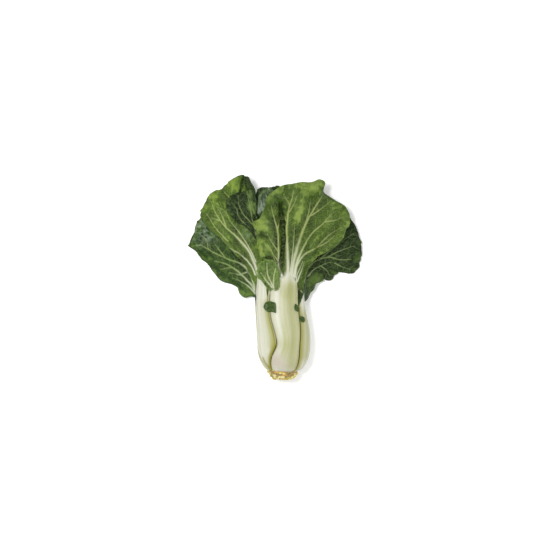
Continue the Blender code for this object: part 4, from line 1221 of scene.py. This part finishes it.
bpy.ops.object.shade_smooth()

made, shader, start, place, _ = new_finish("butt_flesh", 0.25)
rise = start.mask("knob")
grain = start.noise(place, 900.0, 4.0)
stain = start.noise(place, 260.0, 2.0)
flesh = start.add("ShaderNodeValToRGB", {"stops": [(0.0, seen(236, 222, 152)), (0.40, seen(240, 230, 172)),
                                                   (0.55, seen(228, 208, 96)), (0.72, seen(190, 184, 56)),
                                                   (0.86, seen(222, 168, 72)), (1.0, seen(232, 222, 180))]},
                  {"Fac": start.mask("kind")})
flesh = ((grain - 0.5) * 1.6 + (stain - 0.62) * 3).clamp().mix(flesh, seen(190, 132, 50))
flesh = (0.74 - rise * 3.0 + (grain - 0.5) * 1.3).clamp().mix(flesh, seen(120, 84, 30))
start.feed(shader, {"Base Color": flesh, "Normal": start.bump(0.5, 0.0005, grain + rise), "Roughness": 0.6})
butt.data.materials.append(made)
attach(butt, "root")
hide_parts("butt")


# Floor, light and camera. The head lies on a white table under soft light from the upper left, and the
# camera looks straight down on it.

WHITE = (1.0, 1.0, 1.0, 1.0)
HEAD_MIDDLE = (0.0, 0.08, 0.03)

bpy.ops.object.select_all(action="DESELECT")
bpy.ops.mesh.primitive_plane_add(size=12.0, location=(0.0, 0.0, -0.0002))
table = bpy.context.object
table.name = "table_top"
white = bpy.data.materials.new("white_table")
white.use_nodes = True
Wire(white.node_tree).feed(white.node_tree.nodes["Principled BSDF"],
                           {"Base Color": WHITE, "Roughness": 0.9, "Emission Color": WHITE,
                            "Emission Strength": 0.11})
table.data.materials.append(white)


def lamp(name, power, size, place):
    """A soft square light that faces the middle of the head."""
    bpy.ops.object.light_add(type="AREA", location=place)
    made = bpy.context.object
    made.name = name
    made.data.energy = power
    made.data.size = size
    made.rotation_euler = (Vector(HEAD_MIDDLE) - Vector(place)).to_track_quat("-Z", "Y").to_euler()


lamp("window_light", 29.0, 0.4, (-0.45, 0.33, 1.97))
lamp("fill_light", 8.0, 1.6, (0.9, -0.8, 1.8))
sky = bpy.data.worlds.new("studio")
sky.use_nodes = True
Wire(sky.node_tree).feed(sky.node_tree.nodes["Background"], {"Color": WHITE, "Strength": 0.66})
bpy.context.scene.world = sky
bpy.context.scene.view_settings.view_transform = "Standard"

bpy.ops.object.camera_add(location=(-0.0029, 0.0803, 3.452), rotation=(0.0, 0.0, 0.0))
camera = bpy.context.object
camera.name = "camera"
camera.data.lens = 150.0
camera.data.sensor_width = 36.0
bpy.context.scene.camera = camera
